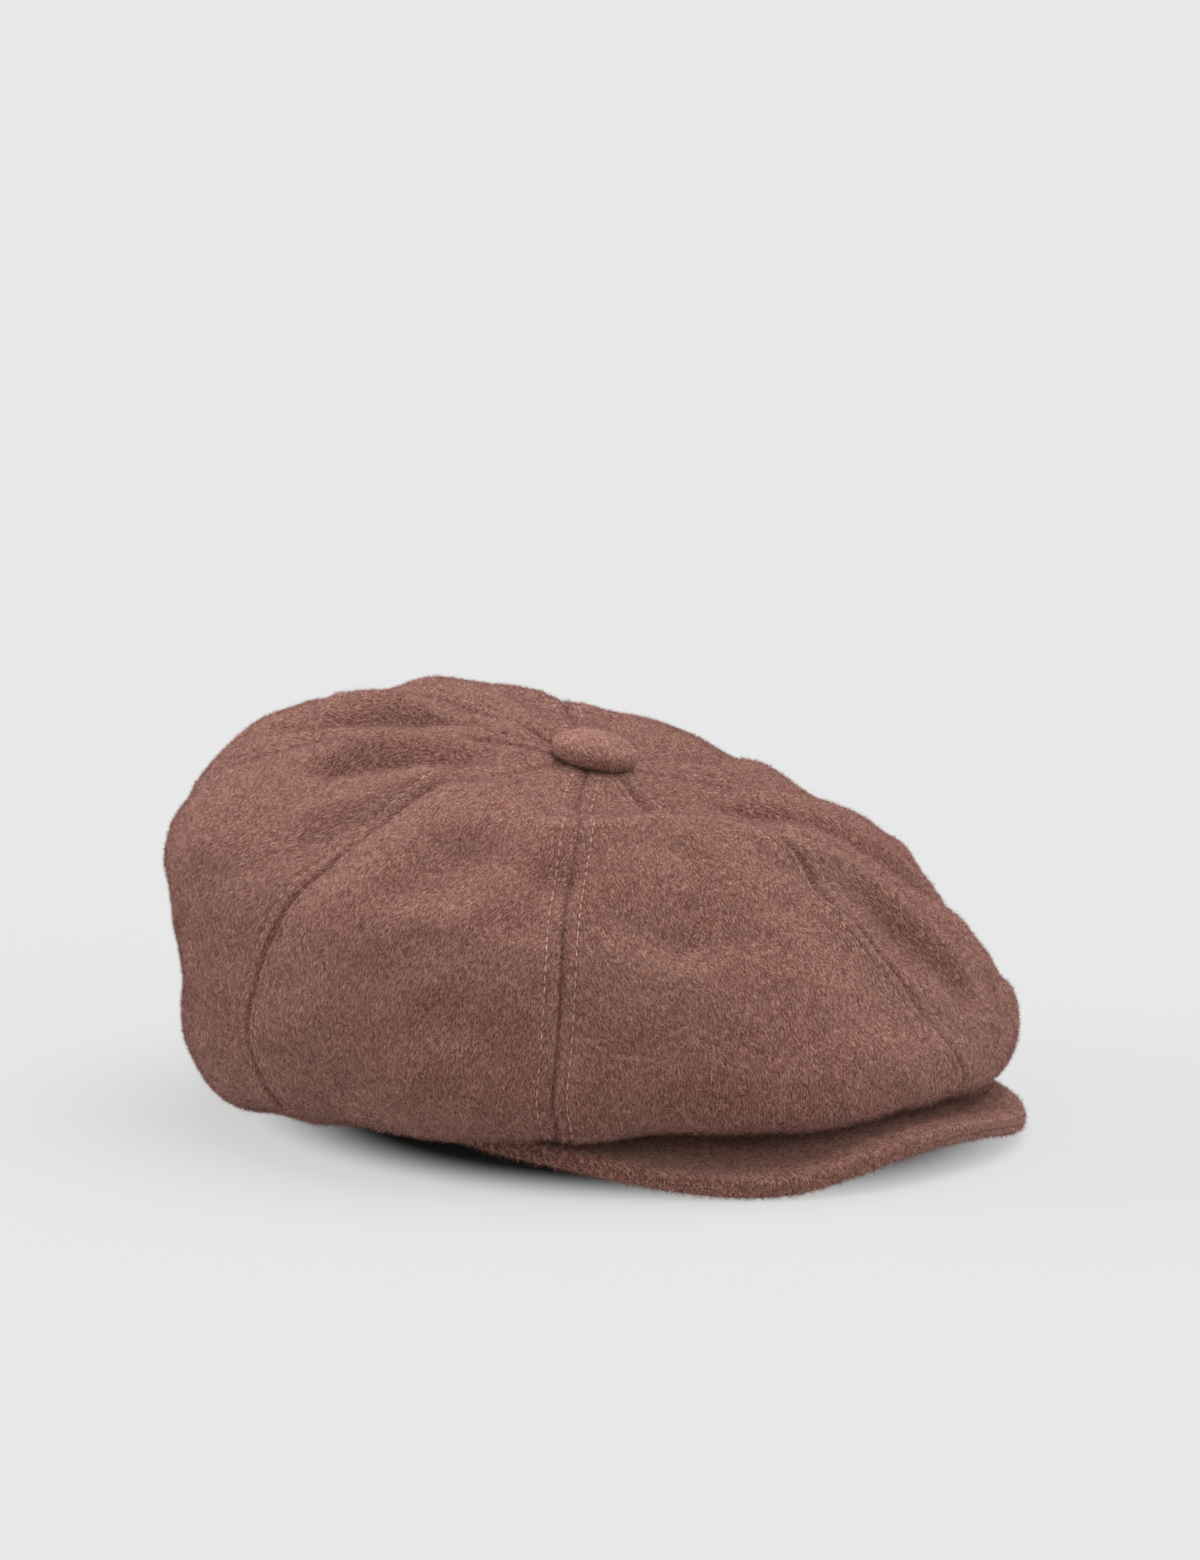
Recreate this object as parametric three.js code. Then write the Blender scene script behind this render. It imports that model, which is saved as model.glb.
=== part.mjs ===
// Eight-panel newsboy cap, as separate sewn and fitted pieces.
// Millimetres, +Z up, the peak points along -Y, and the wearer's right hand is on the -X side.
import * as THREE from 'three';

// ---- crown: overall sizes ----
const crownHalfWidth = 116.5;
const crownFrontReach = 143;
const crownBackReach = 118;
const crownHeight = 120;

// ---- head opening (inside the sewn edge of the crown) ----
const openingHalfWidth = 85;
const openingFrontReach = 96;
const openingBackReach = 98;

// ---- how far the rolled edge stands out from the opening: at the side, the front and the back ----
const rollOut = { side: 20, front: 24, back: 12.5 };
const edgeOut = { side: 10, front: 8, back: 4 };

// ---- cloth, lining and their clearances ----
const clothThickness = 2.5;
const liningThickness = 0.8;
const liningGap = 0.6;
const liningSetBack = 1.5;
const seamGap = 0.3;

// ---- sweatband and the stiff strip behind it ----
const bandHeight = 32;
const bandThickness = 1.3;
const stiffenerThickness = 0.8;
const stiffenerHeight = 29;
const bandClearance = 0.5;
const bandGap = 0.3;
const bandLift = 0.4;

// ---- peak ----
const peakHalfWidth = openingHalfWidth - 1;
const peakRootY = -0.58 * openingFrontReach;
const peakReach = 93.5;
const peakSquareness = 2.45;
const peakEndAngle = 72;
const peakEdgeHeight = { front: 0.067 * crownHeight, right: 0.3, left: 2.6 };
const peakEndRise = 0.5;
const peakLowPoint = 0.42;
const peakClothThickness = 1.6;
const peakBoardThickness = 1.5;
const peakLayerGap = 0.35;
const peakRootGap = 1.2;
const peakCrownClearance = 0.6;
const peakHem = 4;
const peakRounding = 0.9;

// ---- covered button ----
const hubRadius = 3;
const hubForward = 11.5;
const buttonRadius = 13;
const buttonHeight = 7.3;
const buttonClothThickness = 1.5;
const buttonCupThickness = 0.6;
const buttonLift = 1.2;
const buttonFit = 0.3;
const shankRadius = 1.2;
const washerRadius = 7;
const washerThickness = 0.6;

// ---- mesh fineness ----
const panelCount = 8;
const leftSwing = 0.5;
const panelColumns = 6;
const liningColumns = 3;
const panelRows = 24;
const bandSegments = 48;
const peakColumns = 24;
const buttonSegments = 24;

// ---- materials ----
const wool = { color: 0x7a5448, roughness: 0.95, metalness: 0 };
const woolPeak = { color: 0x734f46, roughness: 0.95, metalness: 0 };
const satin = { color: 0x4a332c, roughness: 0.5, metalness: 0 };
const twill = { color: 0x2e2420, roughness: 0.8, metalness: 0 };
const buckram = { color: 0xd8cfc0, roughness: 0.9, metalness: 0 };
const board = { color: 0x2b2b2b, roughness: 0.6, metalness: 0 };
const steel = { color: 0xb4b6b8, roughness: 0.35, metalness: 1 };

// ---- stations of the crown, from the button down and round to the head opening ----
// half, front and back are how far the ring reaches; low[] gives its height at front, side and back;
// puff is how far a panel stands proud at its middle and dip how far the seams are drawn in;
// the last four numbers turn the seams from the centre front round to 135 degrees off their even
// places, as the soft cloth lies.
const stations = [
  ring(0.026, 0.021, 0.025, [0.867, 0.867, 0.867], 0, 0, [9, 8, 8, 14]),
  ring(0.318, 0.294, 0.356, [0.767, 0.85, 0.95], 2, 0.3, [9, 7, 2, 2]),
  ring(0.575, 0.608, 0.737, [0.708, 0.825, 0.975], 3, 0.5, [3, 7, -3, -6]),
  ring(0.91, 0.811, 1, [0.508, 0.645, 0.808], 3, 0.5, [-0.7, 3.2, 0.3, 2]),
  ring(0.996, 0.958, 1, [0.325, 0.408, 0.6], 2.5, 0.4, [-4.5, 6, 4.3, 3]),
  ring(1, 1, 0.975, [0.217, 0.246, 0.388], 2, 0.4, [-7, 7.5, 5.5, 3]),
  ring(0.97, 0.972, 0.965, [0.158, 0.133, 0.217], 1.5, 0.3, [-7, 7, 2, 3]),
  lowRing(rollOut, [0.15, 0.083, 0.067], 1, 0.3, [-6.5, 7, 1.5, 3]),
  lowRing(edgeOut, [0.146, 0.067, 0.004], 0.5, 0.2, [-6.5, 7, 1.5, 3]),
  lowRing({ side: 0, front: 0, back: 0 }, [0.146, 0.075, 0.017], 0, 0, [-6.5, 7, 1.5, 3]),
];
stations[0].half = hubRadius;
stations[0].front = hubRadius;
stations[0].back = hubRadius;

function ring(half, front, back, heights, puff, dip, swings) {
  return {
    half: half * crownHalfWidth,
    front: front * crownFrontReach,
    back: back * crownBackReach,
    heights: heights.map((share) => share * crownHeight),
    puff, dip, swings,
  };
}

function lowRing(out, heights, puff, dip, swings) {
  return {
    half: openingHalfWidth + out.side,
    front: openingFrontReach + out.front,
    back: openingBackReach + out.back,
    heights: heights.map((share) => share * crownHeight),
    puff, dip, swings,
  };
}

// height of a station at a heading: equal to its three given heights at front, side and back
function stationHeight(station, heading) {
  const [front, side, back] = station.heights;
  const mean = (front + back) / 4 + side / 2;
  const tilt = (front - back) / 2;
  const saddle = (front + back) / 4 - side / 2;
  return mean + tilt * Math.cos(heading) + saddle * Math.cos(2 * heading);
}

// point of a station at a heading, which is 0 at the front and turns towards -X
function stationPoint(index, heading, out = 0) {
  const station = stations[index];
  const reach = Math.cos(heading) > 0 ? station.front : station.back;
  const forward = hubForward * Math.max(0, 1 - index / 3);
  return new THREE.Vector3(
    -(station.half + out) * Math.sin(heading),
    -forward - (reach + out) * Math.cos(heading),
    stationHeight(station, heading),
  );
}

// smooth curve through evenly spaced values, t from 0 to 1 (numbers or vectors)
function smooth(values, t) {
  const last = values.length - 1;
  const place = Math.min(Math.max(t, 0), 1) * last;
  const i = Math.min(Math.floor(place), last - 1);
  const f = place - i;
  const weights = [
    0.5 * (-f + 2 * f * f - f * f * f),
    0.5 * (2 - 5 * f * f + 3 * f * f * f),
    0.5 * (f + 4 * f * f - 3 * f * f * f),
    0.5 * (-f * f + f * f * f),
  ];
  const at = (k) => {
    if (k < 0) return extend(values[0], values[1]);
    if (k > last) return extend(values[last], values[last - 1]);
    return values[k];
  };
  const four = [at(i - 1), at(i), at(i + 1), at(i + 2)];
  if (typeof values[0] === 'number') {
    return four.reduce((sum, value, k) => sum + value * weights[k], 0);
  }
  return four.reduce((sum, value, k) => sum.addScaledVector(value, weights[k]), new THREE.Vector3());
}

function extend(end, next) {
  if (typeof end === 'number') return 2 * end - next;
  return end.clone().multiplyScalar(2).sub(next);
}

function crownPoint(heading, t) {
  return smooth(stations.map((station, index) => stationPoint(index, heading)), t);
}

function crownNormal(heading, t) {
  const step = 0.002;
  const along = crownPoint(heading, Math.min(t + step, 1)).sub(crownPoint(heading, Math.max(t - step, 0)));
  const across = crownPoint(heading + step, t).sub(crownPoint(heading - step, t));
  return across.cross(along).normalize();
}

// heading of seam number 0 to 8 at height t; seam 0 and 8 are the centre front, 4 is the centre back;
// the seams on the left side swing half as far as those on the right
function seamHeading(seam, t) {
  const turn = seam > panelCount / 2 ? panelCount - seam : seam;
  const swing = turn < 4 ? smooth(stations.map((station) => station.swings[turn]), t) : 0;
  const even = (360 / panelCount) * seam;
  if (turn === 0) return THREE.MathUtils.degToRad(even + swing);
  return THREE.MathUtils.degToRad(seam > panelCount / 2 ? even - leftSwing * swing : even + swing);
}

// point of panel number 0 to 7, u across it and t down it, depth under the outer face
function panelPoint(panel, u, t, depth) {
  const heading = THREE.MathUtils.lerp(seamHeading(panel, t), seamHeading(panel + 1, t), u);
  const swell = Math.pow(Math.max(0, 4 * u * (1 - u)), 0.75);
  const puff = smooth(stations.map((station) => station.puff), t);
  const dip = smooth(stations.map((station) => station.dip), t);
  const relief = puff * swell - dip * (1 - swell);
  return crownPoint(heading, t).addScaledVector(crownNormal(heading, t), relief - depth);
}

function panelSheet(panel, columns, depth, setBack = 0) {
  const rows = [];
  for (let i = 0; i <= panelRows; i += 1) {
    const row = [];
    for (let j = 0; j <= columns; j += 1) {
      row.push(panelPoint(panel, j / columns, i / panelRows, depth));
    }
    draw(row, 0, 1);
    draw(row, columns, columns - 1);
    rows.push(row);
  }
  if (setBack > 0) {
    rows[panelRows].forEach((point, j) => {
      point.add(rows[panelRows - 1][j].clone().sub(point).setLength(setBack));
    });
  }
  return rows;
}

// pulls the end of a row in by half the seam gap
function draw(row, end, next) {
  const pull = row[next].clone().sub(row[end]).setLength(seamGap / 2);
  row[end].add(pull);
}

// closed solid between two sheets of points with the same rows and columns
function solidBetween(outer, inner) {
  const rows = outer.length;
  const columns = outer[0].length;
  const points = [...outer.flat(), ...inner.flat()];
  const under = rows * columns;
  const index = [];
  const quad = (a, b, c, d) => index.push(a, b, c, a, c, d);
  for (let i = 0; i < rows - 1; i += 1) {
    for (let j = 0; j < columns - 1; j += 1) {
      const a = i * columns + j;
      quad(a, a + 1, a + columns + 1, a + columns);
      quad(under + a, under + a + columns, under + a + columns + 1, under + a + 1);
    }
  }
  for (let j = 0; j < columns - 1; j += 1) {
    const end = (rows - 1) * columns + j;
    quad(j, under + j, under + j + 1, j + 1);
    quad(end, end + 1, under + end + 1, under + end);
  }
  for (let i = 0; i < rows - 1; i += 1) {
    const left = i * columns;
    const right = left + columns - 1;
    quad(left, left + columns, under + left + columns, under + left);
    quad(right, under + right, under + right + columns, right + columns);
  }
  return solid(points, index);
}

// closed ring: one section of points for each step round the ring
function ringSolid(sections) {
  const count = sections.length;
  const size = sections[0].length;
  const index = [];
  for (let i = 0; i < count; i += 1) {
    for (let j = 0; j < size; j += 1) {
      const a = i * size + j;
      const b = i * size + ((j + 1) % size);
      const c = ((i + 1) % count) * size + ((j + 1) % size);
      const d = ((i + 1) % count) * size + j;
      index.push(a, b, c, a, c, d);
    }
  }
  return solid(sections.flat(), index);
}

// geometry from points and triangles, turned so that its faces point out
function solid(points, index) {
  let volume = 0;
  for (let k = 0; k < index.length; k += 3) {
    const [a, b, c] = [points[index[k]], points[index[k + 1]], points[index[k + 2]]];
    volume += a.dot(b.clone().cross(c));
  }
  const faces = volume < 0 ? index.slice().reverse() : index;
  const geometry = new THREE.BufferGeometry().setFromPoints(points);
  geometry.setIndex(faces);
  geometry.computeVertexNormals();
  return geometry;
}

const group = new THREE.Group();

function add(name, geometry, look) {
  const mesh = new THREE.Mesh(geometry, new THREE.MeshStandardMaterial(look));
  mesh.name = name;
  group.add(mesh);
  return mesh;
}

// ---- crown and lining panels ----
const panelNames = [
  'front_right', 'fore_side_right', 'rear_side_right', 'back_right',
  'back_left', 'rear_side_left', 'fore_side_left', 'front_left',
];
const liningDepth = clothThickness + liningGap;
panelNames.forEach((name, panel) => {
  const outer = panelSheet(panel, panelColumns, 0);
  const inner = panelSheet(panel, panelColumns, clothThickness);
  add(`crown_panel_${name}`, solidBetween(outer, inner), wool);
});
panelNames.forEach((name, panel) => {
  const outer = panelSheet(panel, liningColumns, liningDepth, liningSetBack);
  const inner = panelSheet(panel, liningColumns, liningDepth + liningThickness, liningSetBack);
  add(`lining_panel_${name}`, solidBetween(outer, inner), satin);
});

// ---- sweatband and stiffener: upright strips just inside the head opening ----
const opening = stations.length - 1;

function bandRing(inset, thickness, lift, height) {
  const sections = [];
  for (let i = 0; i < bandSegments; i += 1) {
    const heading = (2 * Math.PI * i) / bandSegments;
    const outside = stationPoint(opening, heading, -inset);
    const inside = stationPoint(opening, heading, -inset - thickness);
    outside.z += lift;
    inside.z += lift;
    const outsideTop = outside.clone().setZ(outside.z + height);
    const insideTop = inside.clone().setZ(inside.z + height);
    sections.push([outside, outsideTop, insideTop, inside]);
  }
  return ringSolid(sections);
}

const sweatbandInset = bandClearance + stiffenerThickness + bandGap;
add('band_stiffener', bandRing(bandClearance, stiffenerThickness, bandLift + 1, stiffenerHeight), buckram);
add('sweatband', bandRing(sweatbandInset, bandThickness, bandLift, bandHeight), twill);

// ---- peak: under cover, board and top cover on one curved sheet ----
const peakThickness = 2 * peakClothThickness + peakBoardThickness + 2 * peakLayerGap;
const edgeStation = stations.length - 2;

function peakRoot(u) {
  const heading = THREE.MathUtils.degToRad(peakEndAngle) * u;
  const point = stationPoint(opening, heading, peakRootGap);
  point.z = stationHeight(stations[edgeStation], heading) - peakCrownClearance - peakThickness;
  return point;
}

function peakOutline(u) {
  const angle = (Math.PI / 2) * u;
  const power = 2 / peakSquareness;
  const away = Math.abs(u);
  const far = away < peakLowPoint ? peakEdgeHeight.front : peakRoot(1).z + peakEndRise;
  const bend = away < peakLowPoint ? away / peakLowPoint : (1 - away) / (1 - peakLowPoint);
  const corner = u > 0 ? peakEdgeHeight.right : peakEdgeHeight.left;
  const rise = (far - corner) * Math.cos((Math.PI / 2) * bend) ** 2;
  return new THREE.Vector3(
    -peakHalfWidth * Math.sign(u) * Math.abs(Math.sin(angle)) ** power,
    peakRootY - peakReach * Math.abs(Math.cos(angle)) ** power,
    corner + rise,
  );
}

// sheet over the peak; shares(length) gives the rows from root to edge, lift(row, u) the height
function peakSheet(columns, endU, shares, lift) {
  const rows = shares(1).map(() => []);
  for (let j = 0; j <= columns; j += 1) {
    const u = endU * (2 * j / columns - 1);
    const root = peakRoot(u);
    const edge = peakOutline(u);
    shares(root.distanceTo(edge)).forEach((share, i) => {
      const point = root.clone().lerp(edge, share);
      point.z += lift(i, u);
      rows[i].push(point);
    });
  }
  return rows;
}

const boardBase = peakClothThickness + peakLayerGap;
const boardTop = boardBase + peakBoardThickness;
const topCoverBase = boardTop + peakLayerGap;
const boardEndU = 0.9;
const coverShares = (length) => {
  const hem = 1 - (peakHem - peakLayerGap) / length;
  return [0, hem / 3, (2 * hem) / 3, hem, hem + 0.4 / length, 1 - peakRounding / length, 1];
};
const boardShares = (length) => {
  const start = 2 / length;
  const end = 1 - peakHem / length;
  return [0, 1 / 3, 2 / 3, 1].map((share) => start + (end - start) * share);
};
const hemRow = 4;
const edgeRow = 6;
const isHem = (row, u) => row >= hemRow || Math.abs(u) > 0.999;
const coverTop = peakSheet(peakColumns, 1, coverShares,
  (row) => peakThickness - (row === edgeRow ? peakRounding : 0));
const coverUnder = peakSheet(peakColumns, 1, coverShares,
  (row, u) => (isHem(row, u) ? boardBase : topCoverBase));
add('peak_top_cover', solidBetween(coverTop, coverUnder), woolPeak);
const boardHigh = peakSheet(peakColumns, boardEndU, boardShares, () => boardTop);
const boardLow = peakSheet(peakColumns, boardEndU, boardShares, () => boardBase);
add('peak_board', solidBetween(boardHigh, boardLow), board);
const underTop = peakSheet(peakColumns, 1, coverShares, () => peakClothThickness);
const underLow = peakSheet(peakColumns, 1, coverShares,
  (row) => (row === edgeRow ? peakRounding / 2 : 0));
add('peak_under_cover', solidBetween(underTop, underLow), woolPeak);

// ---- covered button: turned pieces on the tilted top of the crown ----
const topStation = stations[1];
const buttonTilt = Math.atan2(
  topStation.heights[2] - topStation.heights[0],
  topStation.front + topStation.back,
);
const button = new THREE.Group();
button.position.set(0, -hubForward, stations[0].heights[0]);
button.rotation.x = buttonTilt;
group.add(button);

// dome profile from the axis down to the rim, as [share of radius, share of height];
// a turned piece's whole profile is listed from its top and reversed, so that its faces point out
const dome = [[0, 1], [0.27, 0.97], [0.54, 0.89], [0.8, 0.71], [0.95, 0.45]];

function turned(name, profile, look) {
  const points = profile.map(([radius, height]) => new THREE.Vector2(radius, height)).reverse();
  const geometry = new THREE.LatheGeometry(points, buttonSegments);
  const mesh = new THREE.Mesh(geometry, new THREE.MeshStandardMaterial(look));
  mesh.name = name;
  geometry.rotateX(Math.PI / 2);
  button.add(mesh);
}

function domeLine(radius, base, height) {
  return dome.map(([across, up]) => [across * radius, base + up * height]);
}

const cupRadius = buttonRadius - buttonClothThickness - buttonFit;
const cupHeight = buttonHeight - buttonClothThickness - buttonFit;
const hemRadius = 0.62 * buttonRadius;
const rimHeight = buttonLift + buttonClothThickness;
const coverInside = domeLine(buttonRadius - buttonClothThickness, buttonLift, buttonHeight - buttonClothThickness);
turned('button_cover', [
  ...domeLine(buttonRadius, buttonLift, buttonHeight),
  [buttonRadius, buttonLift + 0.16 * buttonHeight],
  [0.94 * buttonRadius, buttonLift],
  [hemRadius, buttonLift],
  [hemRadius, rimHeight],
  [0.975 * (buttonRadius - buttonClothThickness), rimHeight],
  ...coverInside.slice().reverse(),
], wool);
turned('button_cup', [
  ...domeLine(cupRadius, buttonLift, cupHeight),
  [0.96 * cupRadius, rimHeight + buttonFit],
  [0.96 * cupRadius - buttonCupThickness, rimHeight + buttonFit],
  ...domeLine(cupRadius - buttonCupThickness, buttonLift, cupHeight - buttonCupThickness).slice(0, -1).reverse(),
], steel);
const washerTop = -(liningDepth + liningThickness + 1.3);
const shankEnd = washerTop - washerThickness - 0.6;
const plateRadius = hemRadius - buttonFit;
turned('button_back', [
  [0, rimHeight - 0.1],
  [plateRadius, rimHeight - 0.1],
  [plateRadius, buttonLift],
  [shankRadius, buttonLift],
  [shankRadius, shankEnd],
  [0, shankEnd],
], steel);
turned('button_washer', [
  [shankRadius + buttonFit, washerTop],
  [washerRadius, washerTop],
  [washerRadius, washerTop - washerThickness],
  [shankRadius + buttonFit, washerTop - washerThickness],
  [shankRadius + buttonFit, washerTop],
], steel);

// ---- origin: the middle of the cap's footprint, on the surface it rests on ----
group.updateMatrixWorld(true);
const box = new THREE.Box3().setFromObject(group, true);
group.position.set(-(box.min.x + box.max.x) / 2, -(box.min.y + box.max.y) / 2, -box.min.z);
group.updateMatrixWorld(true);

export default group;
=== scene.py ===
"""Newsboy cap: the looks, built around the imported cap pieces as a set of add-on operators."""

import math

import bmesh
import bpy
import numpy as np
from mathutils import Matrix, Vector


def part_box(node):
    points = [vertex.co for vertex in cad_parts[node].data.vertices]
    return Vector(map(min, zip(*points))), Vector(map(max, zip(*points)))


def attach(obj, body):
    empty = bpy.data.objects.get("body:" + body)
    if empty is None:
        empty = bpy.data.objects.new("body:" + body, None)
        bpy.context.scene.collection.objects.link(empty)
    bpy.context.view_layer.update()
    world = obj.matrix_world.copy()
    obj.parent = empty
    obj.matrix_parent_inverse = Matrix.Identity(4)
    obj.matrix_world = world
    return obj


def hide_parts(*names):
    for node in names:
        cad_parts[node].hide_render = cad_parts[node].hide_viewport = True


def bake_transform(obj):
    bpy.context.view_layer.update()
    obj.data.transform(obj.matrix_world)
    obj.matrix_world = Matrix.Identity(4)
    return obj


bl_info = {
    "name": "Newsboy Cap",
    "version": (1, 0, 0),
    "blender": (4, 5, 0),
    "location": "3D View > Sidebar > Newsboy Cap",
    "description": "Builds an eight-panel wool cap with its button, peak, lining and band",
    "category": "Add Mesh",
}

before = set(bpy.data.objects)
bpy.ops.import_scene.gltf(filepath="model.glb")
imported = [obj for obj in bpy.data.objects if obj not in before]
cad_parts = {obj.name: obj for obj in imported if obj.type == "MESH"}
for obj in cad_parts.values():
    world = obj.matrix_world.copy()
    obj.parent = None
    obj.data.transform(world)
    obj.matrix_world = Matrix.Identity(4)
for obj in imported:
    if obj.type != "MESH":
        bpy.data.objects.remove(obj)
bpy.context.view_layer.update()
MM = 0.001

# Rings of the crown from the button down and round to the head opening, in millimetres:
# half width, front reach, back reach, height at front, side and back, panel puff, seam dip,
# and how many degrees the seams from the centre front round to 135 swing from their even places.
RINGS = np.array([
    [3.0, 3.0, 3.0, 104.0, 104.0, 104.0, 0.0, 0.0, 9.0, 8.0, 8.0, 14.0],
    [37.0, 42.0, 42.0, 92.0, 102.0, 114.0, 2.0, 0.3, 9.0, 7.0, 2.0, 2.0],
    [67.0, 87.0, 87.0, 85.0, 99.0, 117.0, 3.0, 0.5, 3.0, 7.0, -3.0, -6.0],
    [106.0, 116.0, 118.0, 61.0, 77.4, 97.0, 3.0, 0.5, -0.7, 3.2, 0.3, 2.0],
    [116.0, 137.0, 118.0, 39.0, 49.0, 72.0, 2.5, 0.4, -4.5, 6.0, 4.3, 3.0],
    [116.5, 143.0, 115.0, 26.0, 29.5, 46.5, 2.0, 0.4, -7.0, 7.5, 5.5, 3.0],
    [113.0, 139.0, 113.9, 19.0, 16.0, 26.0, 1.5, 0.3, -7.0, 7.0, 2.0, 3.0],
    [105.0, 120.0, 110.5, 18.0, 10.0, 8.0, 1.0, 0.3, -6.5, 7.0, 1.5, 3.0],
    [95.0, 104.0, 102.0, 17.5, 8.0, 0.5, 0.5, 0.2, -6.5, 7.0, 1.5, 3.0],
    [85.0, 96.0, 98.0, 17.5, 9.0, 2.0, 0.0, 0.0, -6.5, 7.0, 1.5, 3.0],
])
HALF_WIDTH, FRONT_REACH, BACK_REACH, PUFF, DIP, FIRST_SWING = 0, 1, 2, 6, 7, 8
SWELL_POWER = 0.75  # below 1 a panel stays full until close to its seams
LEFT_SWING = 0.5  # the left seams swing this share of what the right ones do
HUB_FORWARD = 11.5  # the button, ahead of the middle of the head opening
CLOTH_THICKNESS = 2.1
PANELS = 8
PANEL_NAMES = [
    "front_right", "fore_side_right", "rear_side_right", "back_right",
    "back_left", "rear_side_left", "fore_side_left", "front_left",
]
BENDING = (0, 1, 6, 7)
# The rings are measured from the middle of the head opening. The sweatband's box shows where
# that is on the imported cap: the opening reaches 2 mm further back than forward, and the band
# starts 2.4 mm above the zero of the rings' heights.
BAND_BOX = [np.array(corner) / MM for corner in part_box("sweatband")]
BAND_BACK_OFFSET, BAND_BASE = 1.0, 2.4
SHIFT = (BAND_BOX[0] + BAND_BOX[1]) / 2 - [0.0, BAND_BACK_OFFSET, 0.0]
SHIFT[2] = BAND_BOX[0][2] - BAND_BASE

# Brightness of the sky and of the floor's own glow, which fades out round the cap as a painted shadow,
# and soft lights as (name, strength, spread in degrees, azimuth, elevation)
SKY = 0.807
FLOOR_GLOW = 0.567
SUNS = [
    ("key_light", 5.4, 60.0, 96.0, 66.0),
    ("fill_light", 1.5, 60.0, -10.0, 24.0),
    ("rim_light", 4.6, 40.0, 212.0, 14.0),
]
# half sizes of the oval round the cap where the floor's glow fades out: a painted shadow on the floor
SHADOW_HALF_WIDTH, SHADOW_HALF_LENGTH = 0.118, 0.132
FLOOR_REACH = 60.0
# The camera: where it stands, the height of the view at the cap, and the middle of the view
# right of and above the rings' zero
VIEW_AZIMUTH, VIEW_ELEVATION, VIEW_DISTANCE = math.radians(-45.0), math.radians(12.5), 1.15
VIEW_HEIGHT, SENSOR = 0.48, 36.0
VIEW_RIGHT, VIEW_UP = 0.0105, 0.0969


# ---------------------------------------------------------------- sizes and colours

class NewsboyCapSizes(bpy.types.PropertyGroup):
    stitch_distance: bpy.props.FloatProperty(
        name="Stitch Distance", description="Topstitching, from the seam",
        default=0.0042, unit="LENGTH")
    stitch_pitch: bpy.props.FloatProperty(
        name="Stitch Pitch", description="From one stitch to the next",
        default=0.0031, unit="LENGTH")
    stitch_length: bpy.props.FloatProperty(
        name="Stitch Length", description="Length of thread that shows in one stitch",
        default=0.0023, unit="LENGTH")
    thread_radius: bpy.props.FloatProperty(
        name="Thread Radius", description="Half the thickness of the sewing thread",
        default=0.00022, unit="LENGTH")
    seam_depth: bpy.props.FloatProperty(
        name="Seam Depth", description="How deep the cloth turns down into a seam",
        default=0.0010, unit="LENGTH")
    fibre_length: bpy.props.FloatProperty(
        name="Fibre Length", description="Length of the loose fibres of the nap",
        default=0.0021, unit="LENGTH")
    fibre_radius: bpy.props.FloatProperty(
        name="Fibre Radius", description="Half the thickness of a loose fibre at its root",
        default=0.00007, unit="LENGTH")
    fibres_per_square_metre: bpy.props.FloatProperty(
        name="Fibre Density", description="Loose fibres on each square metre of cloth",
        default=3.4e6)
    button_radius: bpy.props.FloatProperty(
        name="Button Radius", description="Radius of the covered button",
        default=0.013, unit="LENGTH")
    button_height: bpy.props.FloatProperty(
        name="Button Height", description="Height of the covered button",
        default=0.0073, unit="LENGTH")


class NewsboyCapColours(bpy.types.PropertyGroup):
    wool: bpy.props.FloatVectorProperty(
        name="Wool", description="Main colour of the cloth", subtype="COLOR",
        size=4, default=(0.129, 0.044, 0.031, 1.0))
    wool_dark: bpy.props.FloatVectorProperty(
        name="Wool Shade", description="Darker flecks between the fibres", subtype="COLOR",
        size=4, default=(0.080, 0.028, 0.020, 1.0))
    wool_light: bpy.props.FloatVectorProperty(
        name="Wool Light", description="Pale fibres of the nap", subtype="COLOR",
        size=4, default=(0.42, 0.225, 0.182, 1.0))
    wool_grey: bpy.props.FloatVectorProperty(
        name="Wool Grey", description="Greyer patches of the cloth", subtype="COLOR",
        size=4, default=(0.127, 0.055, 0.038, 1.0))
    thread: bpy.props.FloatVectorProperty(
        name="Thread", description="Sewing thread", subtype="COLOR",
        size=4, default=(0.50, 0.32, 0.26, 1.0))
    lining: bpy.props.FloatVectorProperty(
        name="Lining", description="Lining cloth", subtype="COLOR",
        size=4, default=(0.052, 0.026, 0.020, 1.0))
    band: bpy.props.FloatVectorProperty(
        name="Sweatband", description="Cotton band inside the opening", subtype="COLOR",
        size=4, default=(0.024, 0.017, 0.014, 1.0))
    floor: bpy.props.FloatVectorProperty(
        name="Floor", description="Studio floor", subtype="COLOR",
        size=4, default=(0.082, 0.082, 0.082, 1.0))


# ---------------------------------------------------------------- shape of the crown

def spread(t, count):
    """Weights of evenly spaced values on a smooth curve through them, one row for each t."""
    place = np.clip(t, 0, 1) * (count - 1)
    i = np.minimum(place.astype(int), count - 2)
    f = place - i
    rows = np.arange(len(t))
    w = np.zeros((len(t), count + 2))
    w[rows, i] = 0.5 * (-f + 2 * f**2 - f**3)
    w[rows, i + 1] = 0.5 * (2 - 5 * f**2 + 3 * f**3)
    w[rows, i + 2] = 0.5 * (f + 4 * f**2 - 3 * f**3)
    w[rows, i + 3] = 0.5 * (-(f**2) + f**3)
    full = w[:, 1:-1].copy()
    full[:, 0] += 2 * w[:, 0]
    full[:, 1] -= w[:, 0]
    full[:, -1] += 2 * w[:, -1]
    full[:, -2] -= w[:, -1]
    return full


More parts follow.
